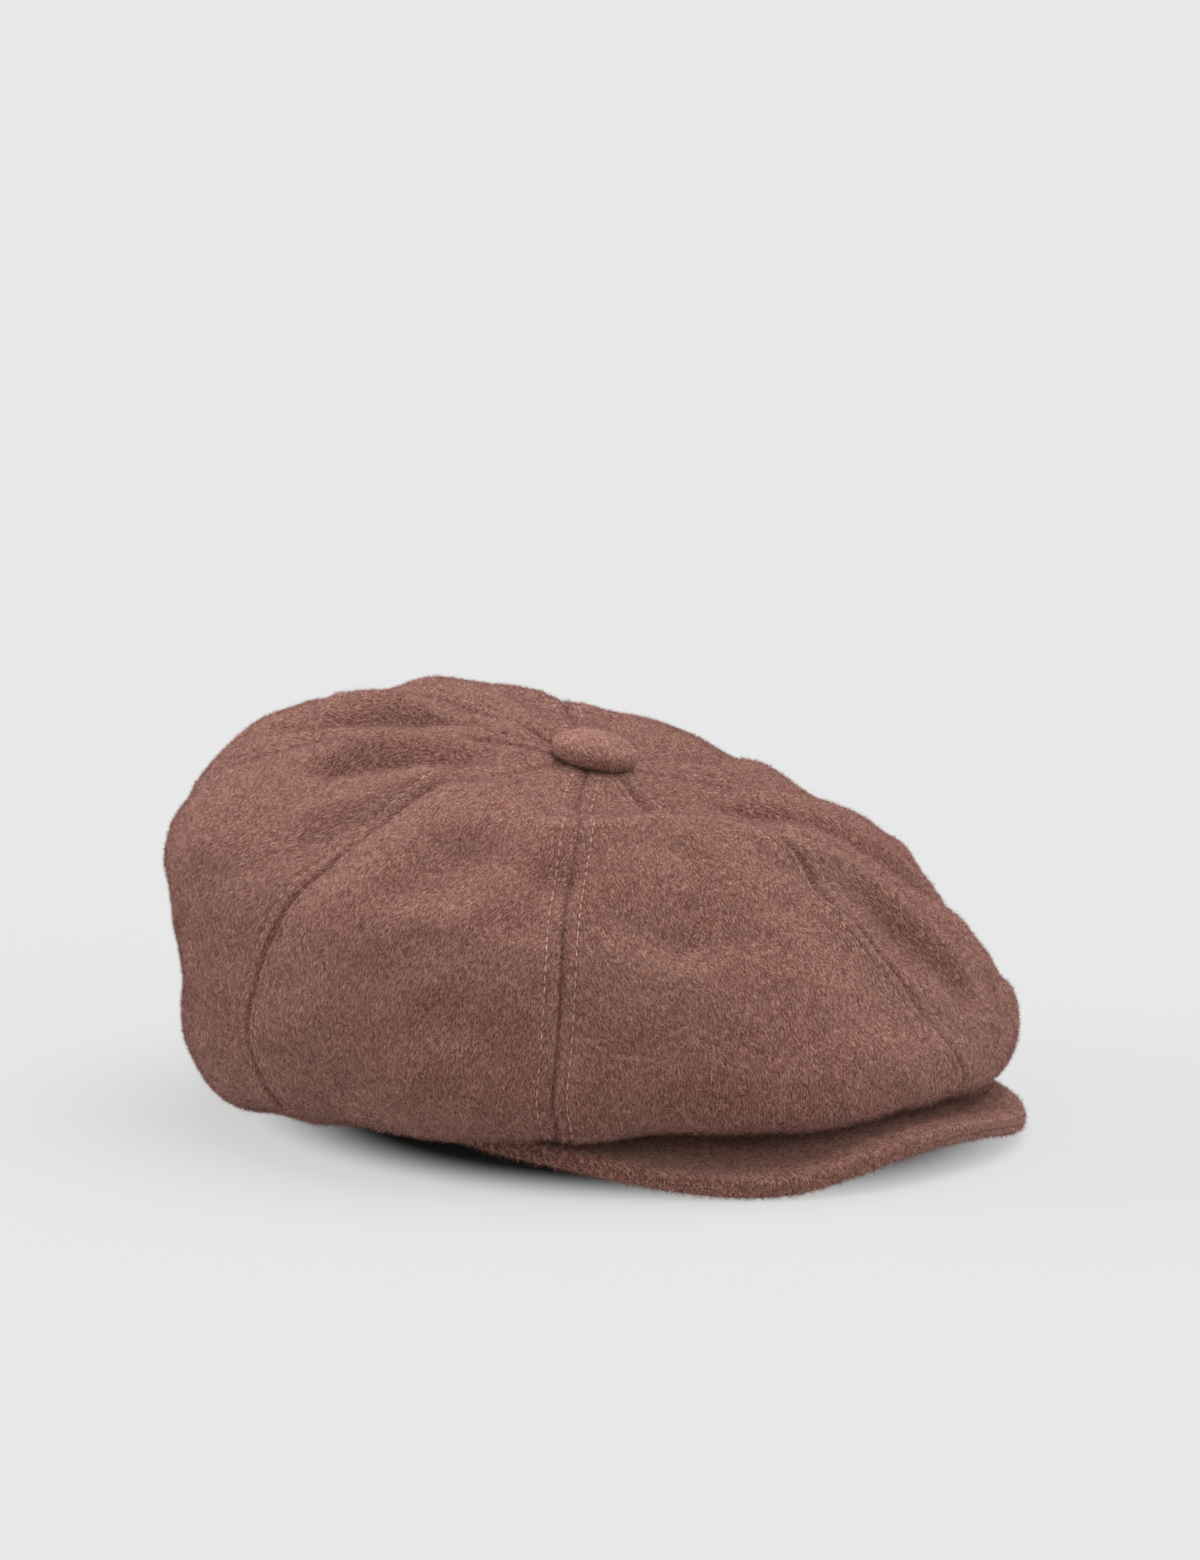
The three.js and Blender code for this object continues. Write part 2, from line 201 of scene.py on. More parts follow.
def ring_height(rings, heading):
    """Height of each ring at a heading, a smooth wave through its front, side and back."""
    front, side, back = rings[:, 3], rings[:, 4], rings[:, 5]
    mean = (front + back) / 4 + side / 2
    saddle = (front + back) / 4 - side / 2
    return mean + (front - back) / 2 * np.cos(heading) + saddle * np.cos(2 * heading)


def crown_point(heading, t):
    """Points of the plain crown; heading is 0 at the front and turns towards -X."""
    heading = np.asarray(heading, float)[:, None]
    weights = spread(np.asarray(t, float), len(RINGS))
    reach = np.where(np.cos(heading) > 0, RINGS[:, FRONT_REACH], RINGS[:, BACK_REACH])
    forward = HUB_FORWARD * np.maximum(0, 1 - np.arange(len(RINGS)) / 3)
    x = -RINGS[:, HALF_WIDTH] * np.sin(heading)
    y = -forward - reach * np.cos(heading)
    z = ring_height(RINGS, heading)
    return np.stack([(v * weights).sum(1) for v in (x, y, z)], 1) + SHIFT


def crown_normal(heading, t):
    """Outward directions of the plain crown."""
    step = 0.002
    along = crown_point(heading, np.minimum(t + step, 1)) - crown_point(heading, np.maximum(t - step, 0))
    across = crown_point(heading + step, t) - crown_point(heading - step, t)
    normal = np.cross(across, along)
    return normal / (np.linalg.norm(normal, axis=1)[:, None] + 1e-12)


def seam_heading(seam, t):
    """Heading of a seam down the crown; seam 8 is seam 0 once more round."""
    left = seam > PANELS // 2
    turn = PANELS - seam if left else seam
    swing = np.zeros(len(t))
    if turn < PANELS // 2:
        swing = spread(t, len(RINGS)) @ RINGS[:, FIRST_SWING + turn]
    if turn and left:
        swing = -LEFT_SWING * swing
    return np.radians(360 / PANELS * seam + swing)


def swell_across(share):
    """1 in the middle of a panel and 0 at its seams."""
    return np.maximum(0, 4 * share * (1 - share)) ** SWELL_POWER


# Folds and hollows that the soft cloth takes, each as (height, width, path):
# millimetres proud (+) or sunk (-), half width in millimetres, and the path as
# (heading in degrees, share of the way down). Headings above 0 are on the right side.
FOLDS = [
    # the full ridge in front of the button, and the hollow behind it
    (4.6, 8, [(72, 0.285), (66, 0.262), (60, 0.236), (54, 0.218), (46, 0.208),
              (36, 0.188), (26, 0.174), (16, 0.172), (8, 0.196), (2, 0.222),
              (-4, 0.245), (-9, 0.272), (-14, 0.308), (-18, 0.35), (-21, 0.40)]),
    (-3.4, 10, [(60, 0.10), (42, 0.10), (24, 0.08), (6, 0.09), (-8, 0.12)]),
    (-9.5, 6.5, [(-10, 0.085), (-19, 0.13), (-25, 0.18), (-28, 0.225),
                 (-31, 0.272), (-34, 0.318), (-40, 0.376), (-48, 0.45)]),
    (2.6, 5.5, [(-6, 0.275), (-12, 0.318), (-17, 0.362), (-21, 0.41)]),
    (3.0, 8, [(-38, 0.12), (-44, 0.17), (-47, 0.23), (-51, 0.29)]),
    (-5.0, 15, [(-58, 0.31), (-54, 0.36), (-50, 0.42), (-46, 0.48)]),
    (-4.5, 15, [(-68, 0.12), (-68, 0.19), (-71, 0.26), (-75, 0.34)]),
    # radial folds over the front left panel
    (2.6, 6, [(4, 0.268), (0, 0.312), (-2, 0.352), (-5, 0.386), (-11, 0.434), (-15, 0.49)]),
    (-3.0, 5, [(-2, 0.235), (-5, 0.262), (-10, 0.324), (-15, 0.40), (-18, 0.46)]),
    (2.6, 6, [(-10, 0.33), (-15, 0.372), (-18, 0.41), (-20, 0.46), (-22, 0.52)]),
    (-2.4, 6, [(-28, 0.40), (-30, 0.46), (-32, 0.54)]),
    (2.0, 8, [(-36, 0.44), (-38, 0.50), (-40, 0.57)]),
    # fullness that levels the front seam and the top of the one beside it
    (2.0, 7, [(2, 0.25), (-0.7, 0.333), (-4.5, 0.444), (-7, 0.556), (-7, 0.68)]),
    (1.3, 6, [(52, 0.10), (52, 0.20), (50, 0.28), (48.5, 0.36)]),
    # soft hollows on the front right panel
    (-3.2, 9, [(26, 0.195), (29, 0.25), (31, 0.30), (31, 0.36)]),
    (-2.0, 8, [(52, 0.25), (52.5, 0.294), (53, 0.34)]),
    (1.8, 11, [(39, 0.22), (40, 0.30), (41, 0.42)]),
    (1.8, 12, [(14, 0.24), (14, 0.32), (10, 0.42)]),
    # diagonal swells on the fore side panel
    (2.4, 8, [(50, 0.21), (57, 0.262), (62, 0.31), (67, 0.36)]),
    (-1.8, 8, [(64, 0.24), (71, 0.29), (77, 0.34)]),
    (1.8, 11, [(76, 0.22), (83, 0.26), (86, 0.32)]),
    (1.2, 14, [(66, 0.40), (76, 0.43), (86, 0.44)]),
    # lengthwise folds over the rear side panel and behind it
    (-5.6, 6, [(126, 0.065), (112, 0.115), (107, 0.16), (107, 0.20), (111, 0.235), (118, 0.265)]),
    (3.4, 7, [(134, 0.085), (121, 0.13), (118, 0.18), (121, 0.23)]),
    (3.2, 7, [(92, 0.16), (92, 0.215), (96, 0.255), (104, 0.29)]),
    (-1.6, 7, [(95, 0.315), (103, 0.345), (112, 0.37)]),
    (-5.2, 5, [(166, 0.07), (157, 0.115), (147, 0.16), (142, 0.195), (142, 0.24), (151, 0.29)]),
    (3.0, 7, [(166, 0.13), (156, 0.18), (154, 0.235)]),
    (-2.4, 12, [(162, 0.24), (170, 0.22), (180, 0.21)]),
    (2.6, 16, [(110, 0.385), (124, 0.375), (140, 0.37)]),
    # left side and back, which lie the same soft way
    (-1.8, 8, [(-82, 0.13), (-88, 0.20), (-94, 0.28)]),
    (-1.6, 8, [(-118, 0.08), (-120, 0.16), (-122, 0.24), (-126, 0.31)]),
    (2.4, 14, [(-124, 0.14), (-138, 0.18), (-152, 0.20)]),
    (-1.4, 7, [(-150, 0.07), (-148, 0.14), (-146, 0.22)]),
    (1.2, 9, [(-166, 0.10), (-165, 0.19), (-164, 0.28)]),
    (2.2, 12, [(-96, 0.36), (-112, 0.40), (-128, 0.44)]),
    (-2.2, 9, [(-84, 0.40), (-96, 0.46), (-110, 0.50)]),
    # creases where the back and sides sink onto the band
    (-2.0, 9, [(108, 0.56), (122, 0.54), (138, 0.545), (152, 0.56)]),
    (-1.6, 8, [(-112, 0.55), (-128, 0.54), (-144, 0.56)]),
    (-1.8, 9, [(164, 0.58), (180, 0.57), (196, 0.58)]),
    (-1.2, 10, [(70, 0.60), (84, 0.57), (96, 0.58)]),
]

# How far seams 0 and 1 sink, as a share of seam_depth at places down the crown
SEAM_SINK = {
    0: ([0.2, 0.3, 0.62, 0.78], [0.7, 0.35, 0.4, 1.0]),
    1: ([0.1, 0.24, 0.36], [0.35, 0.3, 1.0]),
}


def fold_relief(points, t):
    """Height of all the folds at the given points of the plain crown."""
    relief = np.zeros(len(points))
    for height, width, path in FOLDS:
        path = np.array(path, float)
        steps = np.linspace(0, 1, 8 * len(path))
        line = spread(steps, len(path)) @ path
        curve = crown_point(np.radians(line[:, 0]), line[:, 1])
        low, high = curve.min(0) - 3 * width, curve.max(0) + 3 * width
        near = np.where(((points > low) & (points < high)).all(1))[0]
        if not len(near):
            continue
        a, b = curve[:-1], curve[1:]
        span = b - a
        some = points[near]
        share = ((some[:, None] - a) * span).sum(2) / ((span**2).sum(1) + 1e-9)
        share = np.clip(share, 0, 1)
        gap = np.linalg.norm(some[:, None] - (a + span * share[..., None]), axis=2)
        best = gap.argmin(1)
        rows = np.arange(len(near))
        place = (best + share[rows, best]) / len(a)
        ends = np.clip(4.5 * np.minimum(place, 1 - place), 0, 1)
        ends = ends * ends * (3 - 2 * ends)
        relief[near] += height * ends * np.exp(-((gap[rows, best] / width) ** 2))
    return relief


def ripple(points, size, seed):
    """Smooth unevenness about one unit high, from waves of about the given length."""
    rng = np.random.default_rng(seed)
    total = np.zeros(len(points))
    for _ in range(14):
        way = rng.normal(size=3)
        way /= np.linalg.norm(way)
        length = size * rng.uniform(0.7, 1.6)
        total += np.sin(points @ way * 2 * math.pi / length + rng.uniform(0, 2 * math.pi))
    return total / math.sqrt(7)


SEAM_STRIP = 7.5  # width of the fine columns beside a seam


class PanelSheet:
    """Outer face of one crown panel as a grid of points, fine beside the seams.

    Each row runs from one seam to the next. t is the place down the crown, share the place
    from seam to seam, and down, across and width are lengths on the plain crown."""

    def __init__(self, panel, sizes, row_step=1.3, middle=30, margin=10):
        self.panel = panel
        fine = np.linspace(0, 1, 400)
        heading = (seam_heading(panel, fine) + seam_heading(panel + 1, fine)) / 2
        line = crown_point(heading, fine)
        length = np.concatenate([[0], np.cumsum(np.linalg.norm(np.diff(line, axis=0), axis=1))])
        rows = int(round(length[-1] / row_step))
        self.t = np.interp(np.linspace(0, length[-1], rows + 1), length, fine)
        self.down = np.linspace(0, length[-1], rows + 1)
        self.rows, self.columns = rows + 1, middle + 2 * margin + 1
        left, right = seam_heading(panel, self.t), seam_heading(panel + 1, self.t)
        samples = np.linspace(0, 1, 61)
        headings = left[:, None] * (1 - samples) + right[:, None] * samples
        dense = crown_point(headings.ravel(), np.repeat(self.t, 61)).reshape(self.rows, 61, 3)
        steps = np.linalg.norm(np.diff(dense, axis=1), axis=2)
        arc = np.concatenate([np.zeros((self.rows, 1)), np.cumsum(steps, 1)], 1)
        self.width = arc[:, -1]
        share = np.empty((self.rows, self.columns))
        self.across = np.empty((self.rows, self.columns))
        for i, width in enumerate(self.width):
            edge = min(SEAM_STRIP, 0.3 * width)
            stops = np.concatenate([
                np.linspace(0, edge, margin, endpoint=False),
                np.linspace(edge, width - edge, middle, endpoint=False),
                np.linspace(width - edge, width, margin + 1),
            ])
            share[i] = np.interp(stops, arc[i], samples)
            self.across[i] = stops
        self.share = share
        heading = left[:, None] * (1 - share) + right[:, None] * share
        flat_t = np.repeat(self.t, self.columns)
        base = crown_point(heading.ravel(), flat_t)
        normal = crown_normal(heading.ravel(), flat_t)
        relief = self.relief(base, flat_t, sizes)
        self.base = base.reshape(self.rows, self.columns, 3)
        self.normal = normal.reshape(self.rows, self.columns, 3)
        self.outer = self.base + self.normal * relief.reshape(self.rows, self.columns, 1)

    def relief(self, points, t, sizes):
        """How far the cloth stands off the plain crown: puff, seams, folds and unevenness."""
        share, across = self.share.ravel(), self.across.ravel()
        width = np.repeat(self.width, self.columns)
        down = np.repeat(self.down, self.columns)
        weights = spread(t, len(RINGS))
        swell = swell_across(share)
        relief = (weights @ RINGS[:, PUFF]) * swell - (weights @ RINGS[:, DIP]) * (1 - swell)
        seam = np.minimum(across, width - across)
        first = np.where(across < width / 2, self.panel, self.panel + 1) % PANELS
        stitch = sizes.stitch_distance / MM
        settle = np.clip((down - 8) / 10, 0, 1)
        sinks = [np.interp(t, *sink) for sink in SEAM_SINK.values()]
        depth = sizes.seam_depth / MM * np.select([first == k for k in SEAM_SINK], sinks, 1.0)
        relief -= depth * np.exp(-((seam / 0.8) ** 2)) * (0.35 + 0.65 * settle)
        flap = np.exp(-(((seam - 0.52 * stitch) / (0.36 * stitch)) ** 2))
        groove = np.exp(-(((seam - stitch) / 0.75) ** 2))
        pillow = np.exp(-(((seam - 1.55 * stitch) / 1.7) ** 2))
        pucker = np.sin(down * 2 * math.pi / 6.2 + 2.1 * first)
        pucker *= np.exp(-(((seam - stitch) / 2.6) ** 2))
        relief += settle * (0.22 * flap - 0.34 * groove + 0.2 * pillow + 0.12 * pucker)
        folds = fold_relief(points, t) * np.clip((down - 10) / 8, 0, 1)
        self.folds = folds.reshape(self.rows, self.columns)
        relief += folds
        fade = np.clip((down - 10) / 20, 0, 1) * np.clip((0.9 - t) / 0.08, 0, 1)
        relief += fade * (0.75 * ripple(points, 46, 3) + 0.28 * ripple(points, 17, 8))
        return relief

    def beside_seam(self, side, distance):
        """Points down the panel at a distance from its first (0) or last (1) seam."""
        line = []
        for i in range(self.rows):
            place = distance if side == 0 else self.width[i] - distance
            if self.width[i] < 2.6 * distance:
                continue
            line.append([np.interp(place, self.across[i], self.outer[i, :, k]) for k in range(3)])
        return np.array(line)

    def inner(self, depth):
        """The sheet at a depth under the outer face."""
        return self.outer - self.normal * depth


# ---------------------------------------------------------------- meshes

def make_object(name, points, faces, looks=None, cloth=None, smooth=True, outwards=True):
    """A mesh object from points in millimetres; cloth is a flat place for every point, in metres."""
    mesh = bpy.data.meshes.new(name)
    mesh.from_pydata((np.asarray(points) * MM).tolist(), [], [list(map(int, f)) for f in faces])
    if outwards:
        shape = bmesh.new()
        shape.from_mesh(mesh)
        bmesh.ops.recalc_face_normals(shape, faces=shape.faces)
        shape.to_mesh(mesh)
        shape.free()
    if cloth is not None:
        layer = mesh.uv_layers.new(name="cloth")
        corners = np.zeros(len(mesh.loops), np.int32)
        mesh.loops.foreach_get("vertex_index", corners)
        layer.data.foreach_set("uv", np.asarray(cloth, np.float32)[corners].ravel())
    if smooth:
        mesh.polygons.foreach_set("use_smooth", np.ones(len(mesh.polygons), bool))
    mesh.update()
    item = bpy.data.objects.new(name, mesh)
    bpy.context.scene.collection.objects.link(item)
    if looks is not None:
        mesh.materials.append(looks)
    return item


def sheet_faces(rows, columns, start=0):
    """Faces of one sheet of points."""
    i, j = np.meshgrid(np.arange(rows - 1), np.arange(columns - 1), indexing="ij")
    a = (start + i * columns + j).ravel()
    return np.stack([a, a + 1, a + columns + 1, a + columns], 1)


def closed_faces(rows, columns):
    """Faces of a solid between two sheets of points with the same rows and columns."""
    under = rows * columns
    faces = [sheet_faces(rows, columns), sheet_faces(rows, columns, under)[:, ::-1]]
    j = np.arange(columns - 1)
    i = np.arange(rows - 1) * columns
    last = (rows - 1) * columns
    right = columns - 1
    faces.append(np.stack([j, under + j, under + j + 1, j + 1], 1))
    faces.append(np.stack([last + j, last + j + 1, under + last + j + 1, under + last + j], 1))
    faces.append(np.stack([i, i + columns, under + i + columns, under + i], 1))
    i = i + right
    faces.append(np.stack([i, under + i, under + i + columns, i + columns], 1))
    return np.concatenate(faces)


def ring_faces(count, size):
    """Faces of a closed ring made of sections with size points each."""
    i, j = np.meshgrid(np.arange(count), np.arange(size), indexing="ij")
    a, b = i * size + j, i * size + (j + 1) % size
    c, d = ((i + 1) % count) * size + (j + 1) % size, ((i + 1) % count) * size + j
    return np.stack([a.ravel(), b.ravel(), c.ravel(), d.ravel()], 1)


def turned_faces(count, size):
    """Faces round a turned piece made of open profiles with size points each."""
    i, j = np.meshgrid(np.arange(count), np.arange(size - 1), indexing="ij")
    a, c = (i * size + j).ravel(), (((i + 1) % count) * size + j).ravel()
    return np.stack([a, c, c + 1, a + 1], 1)


def settle_object(item, body, replaces=(), bends=False):
    """Ties a finished piece to its body, or bakes its place into its points if it bends, and hides the plain pieces
    it stands for.
    """
    if bends:
        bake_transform(item)
    else:
        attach(item, body)
    if replaces:
        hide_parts(*replaces)
    return item


# ---------------------------------------------------------------- node helpers

def grow(tree, kind, inputs=None, **settings):
    """Adds a node, sets its properties, and links or sets its inputs."""
    node = tree.nodes.new(kind)
    for key, value in settings.items():
        setattr(node, key, value)
    for key, value in (inputs or {}).items():
        socket = node.inputs[key]
        if isinstance(value, bpy.types.NodeSocket):
            tree.links.new(value, socket)
        else:
            socket.default_value = value
    return node


def new_material(name):
    """A material with an output and an empty principled surface."""
    looks = bpy.data.materials.new(name)
    looks.use_nodes = True
    tree = looks.node_tree
    tree.nodes.clear()
    out = tree.nodes.new("ShaderNodeOutputMaterial")
    surface = tree.nodes.new("ShaderNodeBsdfPrincipled")
    tree.links.new(surface.outputs["BSDF"], out.inputs["Surface"])
    return looks, tree, surface


def maths(tree, operation, a, b=0.0, c=None):
    inputs = {0: a, 1: b} if c is None else {0: a, 1: b, 2: c}
    return grow(tree, "ShaderNodeMath", inputs, operation=operation).outputs[0]


def blend_colour(tree, share, a, b, mode="MIX"):
    node = grow(tree, "ShaderNodeMix", data_type="RGBA", blend_type=mode)
    for socket, value in ((node.inputs[0], share), (node.inputs[6], a), (node.inputs[7], b)):
        if isinstance(value, bpy.types.NodeSocket):
            tree.links.new(value, socket)
        else:
            socket.default_value = value
    return node.outputs[2]


def band_pass(tree, value, low, high):
    node = grow(tree, "ShaderNodeMapRange", {"Value": value, "From Min": low, "From Max": high},
                interpolation_type="SMOOTHSTEP")
    return node.outputs[0]


def object_noise(tree, scale, detail, roughness=0.5):
    place = grow(tree, "ShaderNodeTexCoord")
    return grow(tree, "ShaderNodeTexNoise", {
        "Vector": place.outputs["Object"], "Scale": scale, "Detail": detail, "Roughness": roughness}).outputs[0]


def emboss(tree, surface, height, strength, distance):
    """Raises a surface by a height pattern."""
    bump = grow(tree, "ShaderNodeBump", {"Height": height, "Strength": strength, "Distance": distance})
    tree.links.new(bump.outputs[0], surface.inputs["Normal"])


def finish(surface, values):
    for key, value in values.items():
        surface.inputs[key].default_value = value


def tinted(colour, share):
    """A colour with its red, green and blue scaled, none above 1."""
    return tuple(min(1.0, c * share) for c in colour[:3]) + (1.0,)


def wool_material(name, colours, turn=0.0, shade=1.0):
    """Brushed melton: felted short fibres at several headings, flecks, soft patches and a fuzzy sheen; shade scales
    the whole tone, painted light that gives lighter and darker copies of the one wool.
    """
    looks, tree, surface = new_material(name)
    flat = grow(tree, "ShaderNodeUVMap", uv_map="cloth")
    felt = []
    for k, (angle, across, along, low, high) in enumerate([
        (8, 2.6, 0.50, 0.56, 0.70),
        (62, 2.9, 0.62, 0.57, 0.71),
        (-48, 2.4, 0.55, 0.57, 0.70),
        (-80, 3.4, 0.80, 0.58, 0.72),
    ]):
        place = grow(tree, "ShaderNodeMapping", {
            "Vector": flat.outputs[0],
            "Location": (17.0 * k, 9.0 * k, 0.0),
            "Rotation": (0.0, 0.0, math.radians(angle + turn)),
            "Scale": (across / MM, along / MM, 1.0),
        })
        noise = grow(tree, "ShaderNodeTexNoise", {
            "Vector": place.outputs[0], "Scale": 1.0, "Detail": 1.5, "Roughness": 0.5, "Distortion": 0.35,
        }, noise_dimensions="2D")
        felt.append(band_pass(tree, noise.outputs[0], low, high))
    fibres = felt[0]
    for layer in felt[1:]:
        fibres = maths(tree, "MAXIMUM", fibres, layer)
    fleck, mottle, patch = [object_noise(tree, *given) for given in (
        (1150.0, 2.0, 0.6), (210.0, 3.0, 0.6), (19.0, 2.0, 0.5))]
    ground = blend_colour(tree, band_pass(tree, patch, 0.36, 0.66), tuple(colours.wool), tuple(colours.wool_grey))
    ground = blend_colour(tree, band_pass(tree, fleck, 0.56, 0.30), ground, tuple(colours.wool_dark))
    # shade scales the whole tone: painted light, lighter or darker copies of the same cloth
    tone = maths(tree, "MULTIPLY_ADD", band_pass(tree, mottle, 0.3, 0.7), 0.3, 0.85 * shade)
    light = grow(tree, "ShaderNodeCombineColor", {0: tone, 1: tone, 2: tone})
    ground = blend_colour(tree, 1.0, ground, light.outputs[0], "MULTIPLY")
    pale = maths(tree, "MULTIPLY", fibres, 0.62)
    colour = blend_colour(tree, pale, ground, tuple(colours.wool_light))
    tree.links.new(colour, surface.inputs["Base Color"])
    height = maths(tree, "MULTIPLY", fibres, 0.55)
    height = maths(tree, "MULTIPLY_ADD", fleck, 0.6, height)
    height = maths(tree, "MULTIPLY_ADD", mottle, 0.9, height)
    emboss(tree, surface, height, 0.85, 0.00042)
    finish(surface, {
        "Roughness": 0.93, "Specular IOR Level": 0.12, "Sheen Weight": 0.46, "Sheen Roughness": 0.30,
        "Sheen Tint": (0.90, 0.62, 0.52, 1.0)})
    return looks


def fibre_material(name, colours):
    """Loose fibres: each one takes its own tone from its stored shade."""
    looks, tree, surface = new_material(name)
    stored = grow(tree, "ShaderNodeAttribute", attribute_name="shade", attribute_type="GEOMETRY")
    few = maths(tree, "POWER", stored.outputs["Fac"], 2.6)
    colour = blend_colour(tree, few, tuple(colours.wool), tuple(colours.wool_light))
    tree.links.new(colour, surface.inputs["Base Color"])
    finish(surface, {"Roughness": 0.8, "Specular IOR Level": 0.2, "Sheen Weight": 0.15})
    return looks


def thread_material(colours):
    """Cotton thread with a fine diagonal twist."""
    looks, tree, surface = new_material("cap_thread")
    place = grow(tree, "ShaderNodeTexCoord")
    twist = grow(tree, "ShaderNodeTexWave", {
        "Vector": place.outputs["Object"], "Scale": 1500.0, "Distortion": 2.0, "Detail": 1.0,
    }, bands_direction="DIAGONAL")
    colour = blend_colour(tree, twist.outputs[1], tinted(colours.thread, 0.7), tuple(colours.thread))
    tree.links.new(colour, surface.inputs["Base Color"])
    emboss(tree, surface, twist.outputs[1], 0.5, 0.0001)
    finish(surface, {"Roughness": 0.7})
    return looks


def weave_material(name, colour, pitch, diagonal, roughness, sheen, bump_depth):
    """Plain or twill weave in thread pitches of the cloth's own flat places."""
    looks, tree, surface = new_material(name)
    flat = grow(tree, "ShaderNodeUVMap", uv_map="cloth")
    turned = grow(tree, "ShaderNodeMapping", {
        "Vector": flat.outputs[0], "Scale": (1 / pitch, 1 / pitch, 1.0),
        "Rotation": (0.0, 0.0, math.radians(45 if diagonal else 0)),
    })
    warp, weft = [grow(tree, "ShaderNodeTexWave", {
        "Vector": turned.outputs[0], "Scale": 0.32, "Distortion": 0.6, "Detail": 1.0,
    }, bands_direction=way) for way in "XY"]
    if diagonal:
        weave = maths(tree, "MULTIPLY_ADD", weft.outputs[1], 0.25, warp.outputs[1])
    else:
        weave = maths(tree, "MULTIPLY", warp.outputs[1], weft.outputs[1])
    shade = blend_colour(tree, band_pass(tree, weave, 0.0, 1.0), tinted(colour, 0.55), tuple(colour))
    wear = maths(tree, "MULTIPLY", object_noise(tree, 60.0, 3.0), 0.35)
    shade = blend_colour(tree, wear, shade, tinted(colour, 1.7))
    tree.links.new(shade, surface.inputs["Base Color"])
    emboss(tree, surface, weave, 0.6, bump_depth)
    finish(surface, {"Roughness": roughness, "Sheen Weight": sheen})
    return looks


def metal_material(name, tone, roughness):
    """Drawn sheet metal with fine lines."""
    looks, tree, surface = new_material(name)
    place = grow(tree, "ShaderNodeTexCoord")
    stretch = grow(tree, "ShaderNodeMapping", {"Vector": place.outputs["Object"], "Scale": (900.0, 120.0, 900.0)})
    lines = grow(tree, "ShaderNodeTexNoise", {"Vector": stretch.outputs[0], "Scale": 1.0, "Detail": 2.0})
    colour = blend_colour(tree, lines.outputs[0], (tone * 0.75, tone * 0.76, tone * 0.78, 1), (tone, tone, tone, 1))
    tree.links.new(colour, surface.inputs["Base Color"])
    rough = grow(tree, "ShaderNodeMapRange", {
        "Value": lines.outputs[0], "To Min": roughness - 0.08, "To Max": roughness + 0.12})
    tree.links.new(rough.outputs[0], surface.inputs["Roughness"])
    finish(surface, {"Metallic": 1.0})
    return looks


def board_material(name, tone, scale):
    """Stiff board or buckram with a fine grain."""
    looks, tree, surface = new_material(name)
    grain = object_noise(tree, scale, 4.0)
    dark, pale = (tone * 0.7, tone * 0.7, tone * 0.72, 1), (tone * 1.2, tone * 1.2, tone * 1.2, 1)
    tree.links.new(blend_colour(tree, grain, dark, pale), surface.inputs["Base Color"])
    emboss(tree, surface, grain, 0.3, 0.0003)
    finish(surface, {"Roughness": 0.6})
    return looks


# ---------------------------------------------------------------- geometry node trees

def socket_ids(tree):
    """Identifiers of a tree's inputs by their names."""
    return {item.name: item.identifier for item in tree.interface.items_tree
            if item.item_type == "SOCKET" and item.in_out == "INPUT"}


def started_tree(name, source, result, numbers, seeded=False):
    """An empty tree with its inputs and its output named, and the node that gives the inputs."""
    tree = bpy.data.node_groups.new(name, "GeometryNodeTree")
    kinds = [(source, "Geometry")] + [(number, "Float") for number in numbers]
    kinds += [("Seed", "Int")] * seeded + [("Material", "Material")]
    for label, kind in kinds:
        tree.interface.new_socket(label, in_out="INPUT", socket_type="NodeSocket" + kind)
    tree.interface.new_socket(result, in_out="OUTPUT", socket_type="NodeSocketGeometry")
    return tree, tree.nodes.new("NodeGroupInput").outputs


def ended_tree(tree, geometry, looks):
    """Makes the instances real, sets their material and ends the tree."""
    real = grow(tree, "GeometryNodeRealizeInstances", {0: geometry})
    finished = grow(tree, "GeometryNodeSetMaterial", {"Geometry": real.outputs[0], "Material": looks})
    out = tree.nodes.new("NodeGroupOutput")
    tree.links.new(finished.outputs[0], out.inputs[0])
    return tree


def stitch_tree():
    """Stitches along a line: evenly spaced capsules of thread, turned along it."""
    tree, given = started_tree("cap_stitches", "Line", "Stitches", ("Pitch", "Length", "Radius"))
    curve = grow(tree, "GeometryNodeMeshToCurve", {0: given["Line"]})
    points = grow(tree, "GeometryNodeCurveToPoints", {
        "Curve": curve.outputs[0], "Length": given["Pitch"]}, mode="LENGTH")
    ball = grow(tree, "GeometryNodeMeshUVSphere", {"Segments": 6, "Rings": 5, "Radius": 1.0})
    half = maths(tree, "MULTIPLY", given["Length"], 0.5)
    size = grow(tree, "ShaderNodeCombineXYZ", {"X": given["Radius"], "Y": given["Radius"], "Z": half})
    shaped = grow(tree, "GeometryNodeTransform", {"Geometry": ball.outputs[0], "Scale": size.outputs[0]})
    along = grow(tree, "FunctionNodeAlignRotationToVector", {"Vector": points.outputs["Tangent"]}, axis="Z")
    wobble = grow(tree, "FunctionNodeRandomValue", {
        0: (-0.07, -0.07, 0.0), 1: (0.07, 0.07, 3.0), "Seed": 5}, data_type="FLOAT_VECTOR")
    turned = grow(tree, "FunctionNodeRotateRotation", {
        0: along.outputs[0], 1: wobble.outputs[0]}, rotation_space="LOCAL")
    placed = grow(tree, "GeometryNodeInstanceOnPoints", {
        "Points": points.outputs[0], "Instance": shaped.outputs[0], "Rotation": turned.outputs[0]})
    return ended_tree(tree, placed.outputs[0], given["Material"])


